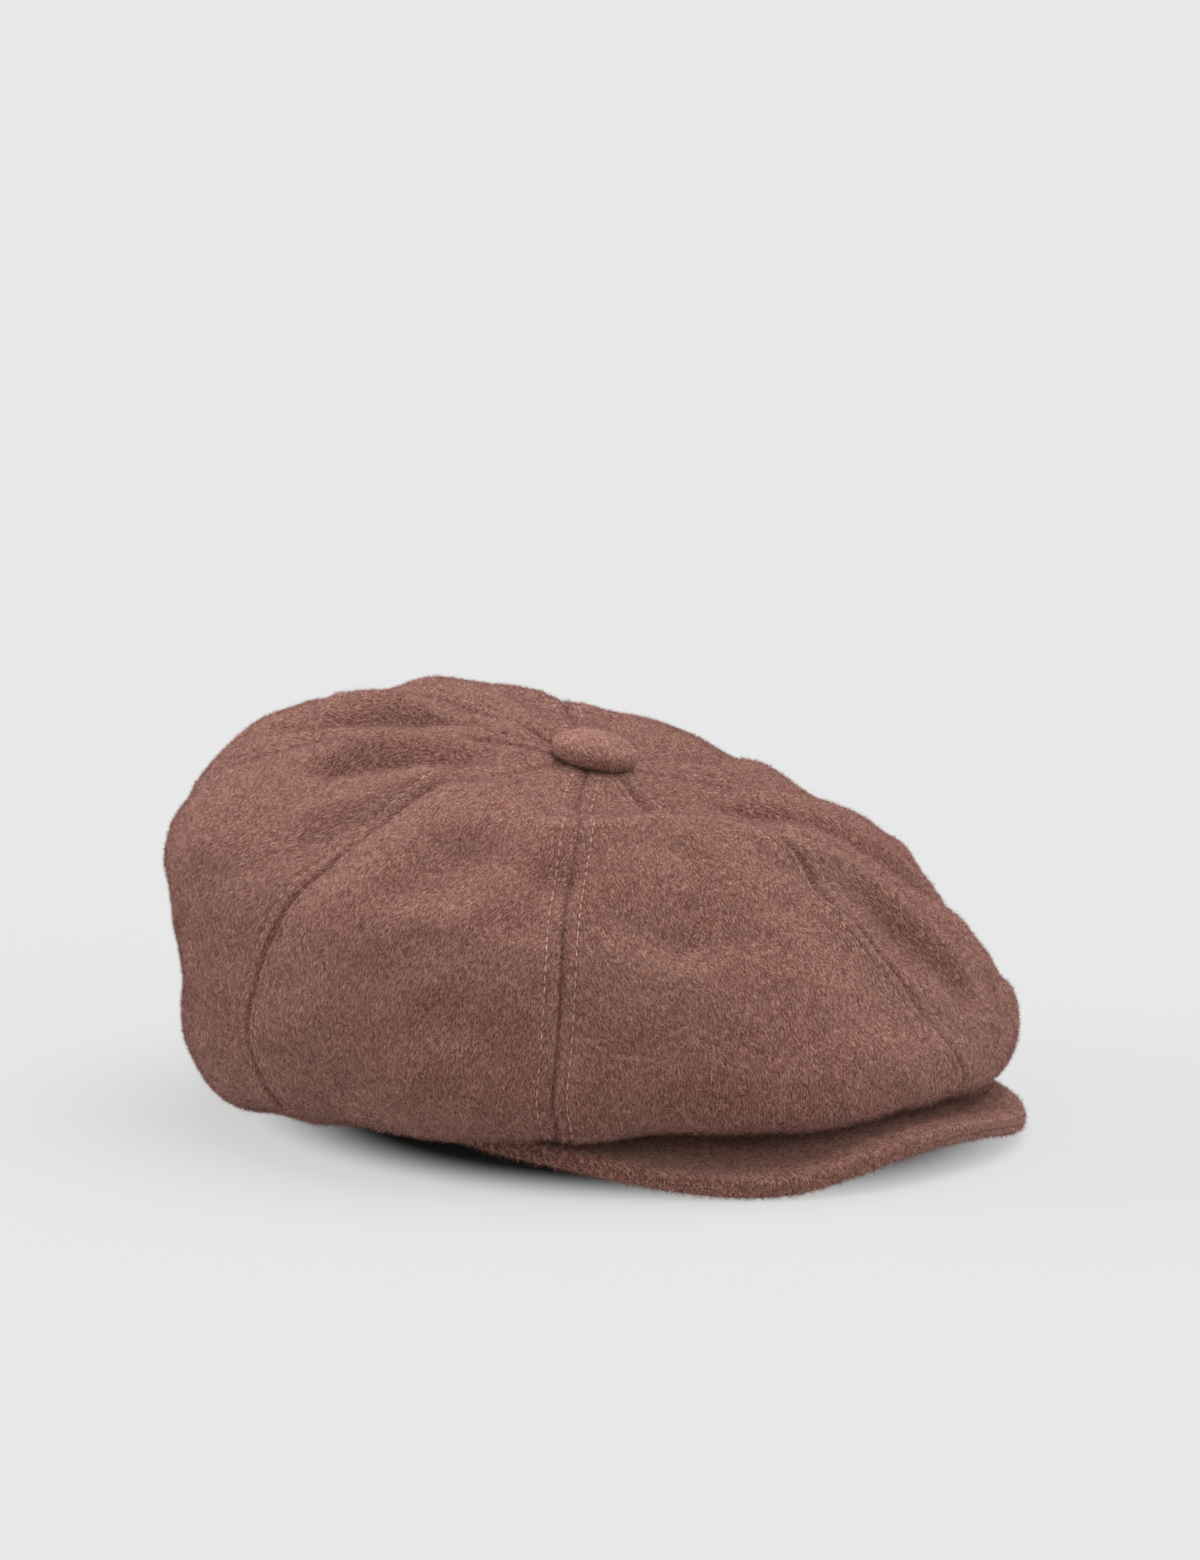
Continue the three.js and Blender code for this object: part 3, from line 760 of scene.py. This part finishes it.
def nap_tree():
    """Loose fibres scattered over a sheet of cloth, lying over at random headings."""
    tree, given = started_tree("cap_nap", "Cloth", "Nap", (
        "Density", "Length", "Radius", "Lowest Tilt", "Highest Tilt"), seeded=True)
    points = grow(tree, "GeometryNodeDistributePointsOnFaces", {
        "Mesh": given["Cloth"], "Density": given["Density"], "Seed": given["Seed"]})
    hair = grow(tree, "GeometryNodeMeshCone", {
        "Vertices": 3, "Side Segments": 1,
        "Radius Top": 0.0, "Radius Bottom": given["Radius"], "Depth": given["Length"]},
        fill_type="NONE")
    low = grow(tree, "ShaderNodeCombineXYZ", {"X": given["Lowest Tilt"], "Y": -0.3, "Z": 0.0})
    high = grow(tree, "ShaderNodeCombineXYZ", {"X": given["Highest Tilt"], "Y": 0.3, "Z": 6.283})
    lean = grow(tree, "FunctionNodeRandomValue", {
        0: low.outputs[0], 1: high.outputs[0], "Seed": 11}, data_type="FLOAT_VECTOR")
    turned = grow(tree, "FunctionNodeRotateRotation", {
        0: points.outputs["Rotation"], 1: lean.outputs[0]}, rotation_space="LOCAL")
    size = grow(tree, "FunctionNodeRandomValue", {"Seed": 23}, data_type="FLOAT")
    size.inputs[2].default_value, size.inputs[3].default_value = 0.45, 1.25
    placed = grow(tree, "GeometryNodeInstanceOnPoints", {
        "Points": points.outputs[0], "Instance": hair.outputs[0],
        "Rotation": turned.outputs[0], "Scale": size.outputs[1]})
    tone = grow(tree, "FunctionNodeRandomValue", {"Seed": 31}, data_type="FLOAT")
    stored = grow(tree, "GeometryNodeStoreNamedAttribute", {
        "Geometry": placed.outputs[0], "Name": "shade", "Value": tone.outputs[1]},
        data_type="FLOAT", domain="INSTANCE")
    return ended_tree(tree, stored.outputs[0], given["Material"])


def grown_from(source, tree, values, name):
    """Runs a geometry node tree on source and returns its result as a plain mesh object."""
    modifier = source.modifiers.new("shape", "NODES")
    modifier.node_group = tree
    names = socket_ids(tree)
    for key, value in values.items():
        modifier[names[key]] = value
    source.update_tag()
    bpy.context.view_layer.update()
    shown = source.evaluated_get(bpy.context.evaluated_depsgraph_get())
    mesh = bpy.data.meshes.new_from_object(shown)
    mesh.name = name
    result = bpy.data.objects.new(name, mesh)
    bpy.context.scene.collection.objects.link(result)
    bpy.data.objects.remove(source)
    return result


# ---------------------------------------------------------------- shared values of one run

KIT = {}


def sizes():
    return bpy.context.scene.newsboy_cap_sizes


def colours():
    return bpy.context.scene.newsboy_cap_colours


def sheets():
    """The eight outer faces of the crown, made when they are first asked for."""
    if "sheets" not in KIT:
        KIT["sheets"] = [PanelSheet(k, sizes()) for k in range(PANELS)]
    return KIT["sheets"]


def material(key, maker):
    """The material or node tree of that key, made when it is first asked for."""
    if key not in KIT:
        KIT[key] = maker()
    return KIT[key]


def wool(part):
    made = {
        "crown": lambda: wool_material("cap_wool_crown", colours()),
        # painted light: the peak's copy of the wool is painted a little darker and the button's a little lighter,
        # as light falls on them
        "peak": lambda: wool_material("cap_wool_peak", colours(), turn=35.0, shade=0.96),
        "button": lambda: wool_material("cap_wool_button", colours(), turn=70.0, shade=1.06),
        "fibres": lambda: fibre_material("cap_wool_fibres", colours()),
    }
    return material("wool_" + part, made[part])


def thread():
    return material("thread", lambda: thread_material(colours()))


def add_nap(name, sheet_object, seed, body, bends, density=1.0, length=1.0, lowest=0.75):
    """Loose fibres over one sheet of cloth, which the call uses up."""
    nap = grown_from(sheet_object, material("nap_tree", nap_tree), {
        "Density": sizes().fibres_per_square_metre * density,
        "Length": sizes().fibre_length * length,
        "Radius": sizes().fibre_radius,
        "Lowest Tilt": lowest,
        "Highest Tilt": 1.42,
        "Seed": seed,
        "Material": wool("fibres"),
    }, name)
    return settle_object(nap, body, bends=bends)


def add_stitches(name, lines, bends, closed=False):
    """Stitches of thread along lines of points in millimetres."""
    points, edges = [], []
    for line in lines:
        start, count = len(points), len(line)
        points += line.tolist()
        edges += [(start + i, start + (i + 1) % count) for i in range(count if closed else count - 1)]
    mesh = bpy.data.meshes.new("stitch_lines")
    mesh.from_pydata((np.array(points) * MM).tolist(), edges, [])
    path = bpy.data.objects.new("stitch_lines", mesh)
    bpy.context.scene.collection.objects.link(path)
    stitches = grown_from(path, material("stitch_tree", stitch_tree), {
        "Pitch": sizes().stitch_pitch,
        "Length": sizes().stitch_length,
        "Radius": sizes().thread_radius,
        "Material": thread(),
    }, name)
    return settle_object(stitches, "crown", bends=bends)


# ---------------------------------------------------------------- operators

class NEWSBOYCAP_OT_crown_panels(bpy.types.Operator):
    """Make the eight wool panels of the crown"""
    bl_idname = "newsboy_cap.crown_panels"
    bl_label = "Crown Panels"

    def execute(self, context):
        for k, sheet in enumerate(sheets()):
            outer = sheet.outer
            inner = sheet.inner(CLOTH_THICKNESS)
            points = np.concatenate([outer.reshape(-1, 3), inner.reshape(-1, 3)])
            across = sheet.across - sheet.width[:, None] / 2
            down = np.repeat(sheet.down[:, None], sheet.columns, 1)
            flat = np.stack([across, down], 2).reshape(-1, 2) * MM + (0.31 * k, 0.17 * k)
            name = "wool_panel_" + PANEL_NAMES[k]
            panel = make_object(name, points, closed_faces(sheet.rows, sheet.columns),
                                wool("crown"), np.concatenate([flat, flat]))
            settle_object(panel, "crown", ["crown_panel_" + PANEL_NAMES[k]], bends=k in BENDING)
        return {"FINISHED"}


class NEWSBOYCAP_OT_topstitching(bpy.types.Operator):
    """Sew the two rows of topstitching beside every seam"""
    bl_idname = "newsboy_cap.topstitching"
    bl_label = "Topstitching"

    def execute(self, context):
        for k, sheet in enumerate(sheets()):
            lines = [sheet.beside_seam(side, sizes().stitch_distance / MM) for side in (0, 1)]
            add_stitches("topstitch_" + PANEL_NAMES[k], lines, k in BENDING)
        return {"FINISHED"}


NAP_END = 0.93  # where the cloth turns in under the band


class NEWSBOYCAP_OT_nap(bpy.types.Operator):
    """Scatter the loose fibres of the brushed wool over the crown"""
    bl_idname = "newsboy_cap.nap"
    bl_label = "Crown Nap"

    def execute(self, context):
        for k, sheet in enumerate(sheets()):
            keep = sheet.t < NAP_END
            outer = sheet.outer[keep]
            skin = make_object("skin", outer.reshape(-1, 3), sheet_faces(*outer.shape[:2]), outwards=False)
            add_nap("nap_" + PANEL_NAMES[k], skin, 40 + k, "crown", k in BENDING)
        return {"FINISHED"}


def button_frame():
    """Where the button stands: its centre and its tilted axes, in millimetres."""
    front_height, back_height = RINGS[1, 3], RINGS[1, 5]
    tilt = math.atan2(back_height - front_height, RINGS[1, FRONT_REACH] + RINGS[1, BACK_REACH])
    centre = np.array([0.0, -HUB_FORWARD, RINGS[0, 3]]) + SHIFT
    turn = np.array(Matrix.Rotation(tilt, 3, "X"))
    return centre, turn


def turned_points(profile, steps, centre, turn, wave):
    """Points of a turned piece on the button's axis, from a profile of (radius, height)."""
    points = []
    for i in range(steps):
        angle = 2 * math.pi * i / steps
        for place in profile:
            radius, height = wave(*place, angle)
            points.append(turn @ np.array([radius * math.cos(angle), radius * math.sin(angle), height]) + centre)
    return np.array(points)


BUTTON_BASE, BUTTON_RIM, SHANK_ROOM = 1.2, 1.8, 8.1


class NEWSBOYCAP_OT_button(bpy.types.Operator):
    """Make the wool-covered button at the middle of the crown"""
    bl_idname = "newsboy_cap.button"
    bl_label = "Covered Button"

    def execute(self, context):
        centre, turn = button_frame()
        radius, height = sizes().button_radius / MM, sizes().button_height / MM
        base, outside = BUTTON_BASE, []
        for angle in np.linspace(0.0, 1.0, 26) * math.pi / 2:
            rise = (height - BUTTON_RIM) * math.cos(angle) ** 0.75
            outside.append((radius * math.sin(angle) ** 0.8, base + BUTTON_RIM + rise))
        rim = [(radius - 0.15, base + 0.9), (radius - 0.7, base + 0.3), (radius - 1.7, base),
               (radius - 3.2, base - 0.05), (SHANK_ROOM, base)]
        under = [(SHANK_ROOM, base + 1.4), (radius - 2.4, base + 1.5)]
        inside = [(r * 0.86, base + (h - base) * 0.79) for r, h in outside[::-5]]
        profile = [(0.001, outside[0][1])] + outside[1:] + rim + under + inside[:-1] + [(0.001, inside[-1][1])]

        def wave(r, h, angle):
            rim_share = max(0.0, min(1.0, (r / radius - 0.72) / 0.28))
            soft = 0.10 * math.sin(9 * angle + 1.0) + 0.07 * math.sin(15 * angle + 0.4)
            lean = 0.12 * math.sin(2 * angle + 0.7) * r / radius
            return r + rim_share * soft, h + rim_share * 0.6 * soft + lean

        steps = 96
        points = turned_points(profile, steps, centre, turn, wave)
        size = len(profile)
        run = np.cumsum([0.0] + [math.dist(p, q) for p, q in zip(profile, profile[1:])])
        local = (points - centre) @ turn
        around = np.arctan2(local[:, 1], local[:, 0])
        cloth = np.stack([np.cos(around), np.sin(around)], 1) * np.tile(run, steps)[:, None] * MM + 0.4
        button = make_object("wool_button", points, turned_faces(steps, size), wool("button"), cloth)
        weld(button)
        settle_object(button, "crown", ["button_cover"])
        shown = len(outside) + 3
        outer = points.reshape(steps, size, 3)[:, :shown]
        skin = make_object("skin", outer.reshape(-1, 3), turned_faces(steps, shown))
        turn_up(skin, Vector(centre * MM))
        add_nap("nap_button", skin, 71, "crown", False, density=1.2, length=0.5, lowest=1.15)
        return {"FINISHED"}


def weld(item, distance=1e-6):
    """Joins points that lie together and turns the faces outwards."""
    shape = bmesh.new()
    shape.from_mesh(item.data)
    bmesh.ops.remove_doubles(shape, verts=shape.verts, dist=distance)
    bmesh.ops.dissolve_degenerate(shape, edges=shape.edges, dist=1e-7)
    bmesh.ops.recalc_face_normals(shape, faces=shape.faces)
    shape.to_mesh(item.data)
    shape.free()
    item.data.update()


def turn_up(item, centre):
    """Makes the faces of an open sheet point away from a centre."""
    total = sum((p.center - centre).dot(p.normal) for p in item.data.polygons)
    if total < 0:
        item.data.flip_normals()


# The peak in plan: half its width, where its outline starts, its reach and how square it is
PEAK_HALF_WIDTH, PEAK_ROOT_Y, PEAK_REACH, PEAK_SQUARE = 84.0, -55.7, 93.5, 2.45
# where its root ends in degrees, its thickness, and its gaps from the opening and the crown
PEAK_END_ANGLE, PEAK_THICKNESS, PEAK_ROOT_GAP, PEAK_CLEAR = 72.0, 5.4, 1.2, 0.6
# heights of its edge at the front, at the low corners and above its ends
PEAK_EDGE_FRONT, PEAK_CORNER_RIGHT, PEAK_CORNER_LEFT = 8.0, 0.3, 2.6
PEAK_END_RISE, PEAK_LOW_POINT = 0.5, 0.42
# heights of the covers' inner faces, and the strip where the covers meet round the board
PEAK_COVER_UNDER, PEAK_COVER_TOP, PEAK_HEM = 1.6, 3.8, 3.6
PEAK_COLUMNS, PEAK_ROWS = 180, 46


def peak_lines(u):
    """Root and outer edge of the peak's underside, for u from -1 to 1 across it."""
    heading = np.radians(PEAK_END_ANGLE) * u
    opening, edge = RINGS[-1], RINGS[-2:-1]
    root = np.stack([
        -(opening[HALF_WIDTH] + PEAK_ROOT_GAP) * np.sin(heading),
        -(opening[FRONT_REACH] + PEAK_ROOT_GAP) * np.cos(heading),
        ring_height(edge, heading[:, None])[:, 0] - PEAK_CLEAR - PEAK_THICKNESS,
    ], 1)
    end = ring_height(edge, np.radians([[PEAK_END_ANGLE]]))[0, 0] - PEAK_CLEAR - PEAK_THICKNESS + PEAK_END_RISE
    angle, power = np.pi / 2 * u, 2 / PEAK_SQUARE
    away = np.abs(u)
    far = np.where(away < PEAK_LOW_POINT, PEAK_EDGE_FRONT, end)
    corner = np.where(u > 0, PEAK_CORNER_RIGHT, PEAK_CORNER_LEFT)
    bend = np.where(away < PEAK_LOW_POINT, away / PEAK_LOW_POINT, (1 - away) / (1 - PEAK_LOW_POINT))
    rim = np.stack([
        -PEAK_HALF_WIDTH * np.sign(u) * np.abs(np.sin(angle)) ** power,
        PEAK_ROOT_Y - PEAK_REACH * np.abs(np.cos(angle)) ** power,
        corner + (far - corner) * np.cos(np.pi / 2 * bend) ** 2,
    ], 1)
    return root + SHIFT, rim + SHIFT


def peak_grid():
    """Columns across the peak (u from -1 to 1, root, rim, length) and shares down them, fine by the edge."""
    s = np.linspace(-1, 1, PEAK_COLUMNS)
    u = np.sign(s) * (1 - (1 - np.abs(s)) ** 1.25) * 0.35 + s * 0.65
    root, rim = peak_lines(u)
    length = np.linalg.norm(rim - root, axis=1)
    shares = 1 - (1 - np.linspace(0, 1, PEAK_ROWS)) ** 1.7
    return u, root, rim, length, shares


class NEWSBOYCAP_OT_peak(bpy.types.Operator):
    """Make the top and under covers of the peak, sewn together round its edge"""
    bl_idname = "newsboy_cap.peak"
    bl_label = "Peak"

    def execute(self, context):
        u, root, rim, length, shares = peak_grid()
        rows, columns = PEAK_ROWS, PEAK_COLUMNS
        base = root[None] + (rim - root)[None] * shares[:, None, None]
        # distance in from the edge, which also turns down at the two ends
        inset = np.minimum((1 - shares)[:, None] * length[None], (1 - np.abs(u))[None] * 70 + 0.4)
        middle = PEAK_THICKNESS / 2
        curve = np.sqrt(np.clip(1 - (1 - np.clip(inset / middle, 0, 1)) ** 2, 0, 1))
        flat_points = base.reshape(-1, 3)
        soft = (0.16 * ripple(flat_points, 34, 12) + 0.07 * ripple(flat_points, 13, 14)).reshape(rows, columns)
        soft *= np.clip(inset / 6, 0, 1)
        turned = 0.30 * np.exp(-(((inset - 5.0) / 3.0) ** 2))
        top = middle + (middle + 0.05) * curve + soft + turned * 0.6
        low = middle - middle * curve - turned * 0.25 + 0.25 * soft * (inset > 3)
        hem = inset < PEAK_HEM
        inner_top = np.where(hem, middle + 0.04, PEAK_COVER_TOP)
        inner_low = np.where(hem, middle - 0.04, PEAK_COVER_UNDER)
        seam = 0.35 * np.exp(-((inset / 0.8) ** 2))
        away = np.stack([rim[:, 0] - root[:, 0], rim[:, 1] - root[:, 1], np.zeros(columns)], 1)
        away /= np.linalg.norm(away, axis=1)[:, None]
        bulge = 0.5 * np.exp(-(((inset - 1.0) / 0.9) ** 2)) * (inset < 3)

        def level(height, push=0.0 * inset):
            points = base.copy()
            points[..., 2] += height
            return points + away[None] * push[..., None]

        push = bulge - seam
        pieces = [
            ("top", level(np.maximum(top, inner_top + 0.03), push), level(inner_top)),
            ("under", level(np.minimum(low, inner_low - 0.03), push), level(inner_low)),
        ]
        for k, (side, outer, inner) in enumerate(pieces):
            points = np.concatenate([outer.reshape(-1, 3), inner.reshape(-1, 3)])
            steps = np.linalg.norm(np.diff(outer, axis=0), axis=2)
            reach = np.concatenate([np.zeros((1, columns)), np.cumsum(steps, 0)])
            along = root[None, :, :2] + away[None, :, :2] * reach[..., None]
            flat = along.reshape(-1, 2) * MM + 0.9 + k
            cover = make_object("wool_peak_" + side, points, closed_faces(rows, columns),
                                wool("peak"), np.concatenate([flat, flat]))
            settle_object(cover, "peak", ["peak_" + side + "_cover"])
            skin = make_object("skin", outer.reshape(-1, 3), sheet_faces(rows, columns), outwards=False)
            up = 1 if side == "top" else -1
            if sum(p.normal.z for p in skin.data.polygons) * up < 0:
                skin.data.flip_normals()
            add_nap("nap_peak_" + side, skin, 81 + k, "peak", False)
        return {"FINISHED"}


LINING_DEPTH, LINING_THICKNESS, FOLD_ROOM = 5.4, 0.5, 1.5


class NEWSBOYCAP_OT_lining(bpy.types.Operator):
    """Make the eight lining panels inside the crown"""
    bl_idname = "newsboy_cap.lining"
    bl_label = "Lining"

    def execute(self, context):
        satin = material("lining", lambda: weave_material(
            "cap_lining_satin", tuple(colours().lining), 0.0005, False, 0.38, 0.25, 0.00006))
        for k, sheet in enumerate(sheets()):
            rows = np.unique(np.concatenate([np.arange(2, sheet.rows - 2, 2), [sheet.rows - 3]]))
            columns = np.arange(0, sheet.columns, 2)
            some = np.ix_(rows, columns)
            points, normal, across = sheet.base[some], sheet.normal[some], sheet.across[some]
            seam = np.minimum(across, sheet.width[rows][:, None] - across)
            loose = ripple(points.reshape(-1, 3), 30, 21).reshape(seam.shape) * np.clip(seam / 14, 0, 1)
            # the lining also gives way where the cloth over it folds inwards
            hollow = np.maximum(0, -FOLD_ROOM - sheet.folds[some])
            depth = LINING_DEPTH + 1.2 * (1 - swell_across(sheet.share[some])) + np.abs(loose)
            depth += 0.5 * np.exp(-((seam / 1.2) ** 2)) + hollow
            outer = points - normal * (depth[..., None] - LINING_THICKNESS)
            inner = points - normal * depth[..., None]
            down = np.repeat(sheet.down[rows][:, None], len(columns), 1)
            flat = np.stack([across, down], 2).reshape(-1, 2) * MM
            name = "satin_panel_" + PANEL_NAMES[k]
            lining = make_object(name, np.concatenate([outer.reshape(-1, 3), inner.reshape(-1, 3)]),
                                 closed_faces(len(rows), len(columns)), satin, np.concatenate([flat, flat]))
            settle_object(lining, "crown", ["lining_panel_" + PANEL_NAMES[k]], bends=k in BENDING)
        return {"FINISHED"}


def oval(heading, inset):
    """Points round the head opening, drawn in by an inset."""
    ring = RINGS[-1]
    reach = np.where(np.cos(heading) > 0, ring[FRONT_REACH], ring[BACK_REACH])
    return np.stack([
        -(ring[HALF_WIDTH] - inset) * np.sin(heading),
        -(reach - inset) * np.cos(heading),
        ring_height(RINGS[-1:], heading[:, None])[:, 0],
    ], 1) + SHIFT


# Insets of the band's two faces from the opening, its lift and height, its rows of stitches
BAND_OUTSIDE, BAND_INSIDE, BAND_LIFT, BAND_HEIGHT = 1.65, 2.95, 0.4, 32.0
BAND_ROWS = (28.5, 3.0)
BAND_STEPS = 240


def band_line(heading, inset, height, groove=0.0):
    """Points round the band at a height, where its top edge waves a little."""
    wave = 0.25 * np.sin(5 * heading + 0.4) * (height / BAND_HEIGHT) ** 2
    return oval(heading, inset + wave - groove) + [0, 0, BAND_LIFT + height]


class NEWSBOYCAP_OT_sweatband(bpy.types.Operator):
    """Make the cotton sweatband with its rolled edge and its two rows of stitches"""
    bl_idname = "newsboy_cap.sweatband"
    bl_label = "Sweatband"

    def execute(self, context):
        twill = material("band", lambda: weave_material(
            "cap_band_twill", tuple(colours().band), 0.0009, True, 0.85, 0.3, 0.00012))
        heading = np.linspace(0, 2 * np.pi, BAND_STEPS, endpoint=False)
        heights = np.linspace(0.9, 31.6, 24)
        edge = oval(heading, (BAND_OUTSIDE + BAND_INSIDE) / 2)
        sections = [band_line(heading, BAND_OUTSIDE, h) for h in heights]
        sections.append(edge + [0, 0, BAND_LIFT + BAND_HEIGHT])
        for h in heights[::-1]:
            groove = 0.25 * sum(math.exp(-(((h - row) / 0.8) ** 2)) for row in BAND_ROWS)
            sections.append(band_line(heading, BAND_INSIDE, h, groove))
        sections.append(edge + [0, 0, BAND_LIFT])
        grid = np.stack(sections, 1)
        size = grid.shape[1]
        girth = np.repeat((heading * 90)[:, None], size, 1)
        flat = np.stack([girth, grid[..., 2]], 2).reshape(-1, 2) * MM
        band = make_object("twill_sweatband", grid.reshape(-1, 3), ring_faces(BAND_STEPS, size), twill, flat)
        settle_object(band, "crown", ["sweatband"], bends=True)
        lines = [band_line(heading, BAND_INSIDE, row, 0.1) for row in BAND_ROWS]
        add_stitches("band_stitches", lines, True, closed=True)
        return {"FINISHED"}


class NEWSBOYCAP_OT_hidden_parts(bpy.types.Operator):
    """Give the stiffener, the peak board and the button's metal pieces their finishes"""
    bl_idname = "newsboy_cap.hidden_parts"
    bl_label = "Hidden Parts"

    def execute(self, context):
        finishes = {
            "band_stiffener": board_material("cap_buckram", 0.6, 900.0),
            "peak_board": board_material("cap_board", 0.03, 300.0),
            "button_cup": metal_material("cap_button_cup", 0.62, 0.38),
            "button_back": metal_material("cap_button_back", 0.55, 0.35),
            "button_washer": metal_material("cap_button_washer", 0.6, 0.32),
        }
        for node, looks in finishes.items():
            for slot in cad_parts[node].material_slots:
                slot.material = looks
        return {"FINISHED"}


def direction(azimuth, elevation):
    """Unit vector towards a place, where azimuth 0 is in front of the peak."""
    return Vector((math.sin(azimuth) * math.cos(elevation), -math.cos(azimuth) * math.cos(elevation),
                   math.sin(elevation)))


class NEWSBOYCAP_OT_stage(bpy.types.Operator):
    """Set up the pale floor, the soft light and the camera"""
    bl_idname = "newsboy_cap.stage"
    bl_label = "Studio Stage"

    def execute(self, context):
        scene = context.scene
        scene.view_settings.view_transform = "Standard"
        scene.view_settings.look = "None"
        looks, tree, surface = new_material("studio_floor")
        finish(surface, {
            "Base Color": tuple(colours().floor), "Roughness": 1.0, "Specular IOR Level": 0.0,
            "Emission Color": (1.0, 1.0, 1.0, 1.0)})
        # the floor glows evenly, but its glow fades out in an oval close round the cap: a painted shadow, laid
        # where the cap's soft shadow lies
        place = grow(tree, "ShaderNodeTexCoord")
        painted_shadow_oval = grow(tree, "ShaderNodeMapping", {
            "Vector": place.outputs["Object"], "Location": (0.0, 0.12, 0.0),
            "Scale": (1 / SHADOW_HALF_WIDTH, 1 / SHADOW_HALF_LENGTH, 0.0)})
        reach = grow(tree, "ShaderNodeVectorMath", {0: painted_shadow_oval.outputs[0]}, operation="LENGTH")
        glow_outside_painted_shadow = band_pass(tree, reach.outputs["Value"], 0.66, 0.95)
        tree.links.new(maths(tree, "MULTIPLY", glow_outside_painted_shadow, FLOOR_GLOW), surface.inputs["Emission Strength"])
        mesh = bpy.data.meshes.new("studio_floor")
        corners = [(x * FLOOR_REACH, y * FLOOR_REACH, 0) for x, y in ((-1, -1), (1, -1), (1, 1), (-1, 1))]
        mesh.from_pydata(corners, [], [(0, 1, 2, 3)])
        mesh.materials.append(looks)
        floor = bpy.data.objects.new("studio_floor", mesh)
        scene.collection.objects.link(floor)
        world = bpy.data.worlds.new("studio_sky")
        world.use_nodes = True
        world.node_tree.nodes["Background"].inputs[0].default_value = (1.0, 1.0, 1.0, 1.0)
        world.node_tree.nodes["Background"].inputs[1].default_value = SKY
        scene.world = world
        for name, strength, angle, azimuth, elevation in SUNS:
            light = bpy.data.lights.new(name, "SUN")
            light.energy = strength
            light.angle = math.radians(angle)
            item = bpy.data.objects.new(name, light)
            towards = direction(math.radians(azimuth), math.radians(elevation))
            item.rotation_mode = "QUATERNION"
            item.rotation_quaternion = towards.to_track_quat("Z", "Y")
            scene.collection.objects.link(item)
        towards = direction(VIEW_AZIMUTH, VIEW_ELEVATION)
        right = Vector((math.cos(VIEW_AZIMUTH), math.sin(VIEW_AZIMUTH), 0.0))
        up = towards.cross(right)
        base = Vector(SHIFT * MM)
        data = bpy.data.cameras.new("studio_camera")
        data.sensor_width, data.sensor_fit = SENSOR, "AUTO"
        data.lens = SENSOR * VIEW_DISTANCE / VIEW_HEIGHT
        camera = bpy.data.objects.new("studio_camera", data)
        camera.location = base + towards * VIEW_DISTANCE
        aim = base + right * VIEW_RIGHT + up * VIEW_UP
        camera.rotation_mode = "QUATERNION"
        camera.rotation_quaternion = (aim - camera.location).to_track_quat("-Z", "Y")
        scene.collection.objects.link(camera)
        scene.camera = camera
        return {"FINISHED"}


# ---------------------------------------------------------------- add-on

OPERATORS = (
    NEWSBOYCAP_OT_stage,
    NEWSBOYCAP_OT_crown_panels,
    NEWSBOYCAP_OT_topstitching,
    NEWSBOYCAP_OT_nap,
    NEWSBOYCAP_OT_button,
    NEWSBOYCAP_OT_peak,
    NEWSBOYCAP_OT_lining,
    NEWSBOYCAP_OT_sweatband,
    NEWSBOYCAP_OT_hidden_parts,
)


class NEWSBOYCAP_PT_panel(bpy.types.Panel):
    """Lists the sizes, the colours and the pieces of the cap"""
    bl_idname = "NEWSBOYCAP_PT_panel"
    bl_label = "Newsboy Cap"
    bl_space_type = "VIEW_3D"
    bl_region_type = "UI"
    bl_category = "Newsboy Cap"

    def draw(self, context):
        for group in (context.scene.newsboy_cap_sizes, context.scene.newsboy_cap_colours):
            box = self.layout.box()
            for name in group.__annotations__:
                box.prop(group, name)
        for operator in OPERATORS:
            self.layout.operator(operator.bl_idname)


CLASSES = (NewsboyCapSizes, NewsboyCapColours, *OPERATORS, NEWSBOYCAP_PT_panel)


def register():
    for item in CLASSES:
        bpy.utils.register_class(item)
    bpy.types.Scene.newsboy_cap_sizes = bpy.props.PointerProperty(type=NewsboyCapSizes)
    bpy.types.Scene.newsboy_cap_colours = bpy.props.PointerProperty(type=NewsboyCapColours)


def unregister():
    del bpy.types.Scene.newsboy_cap_colours
    del bpy.types.Scene.newsboy_cap_sizes
    for item in reversed(CLASSES):
        bpy.utils.unregister_class(item)


def main():
    register()
    for operator in OPERATORS:
        group, name = operator.bl_idname.split(".")
        result = getattr(getattr(bpy.ops, group), name)()
        if result != {"FINISHED"}:
            raise RuntimeError(operator.bl_label + " could not be made")


if __name__ == "__main__":
    main()
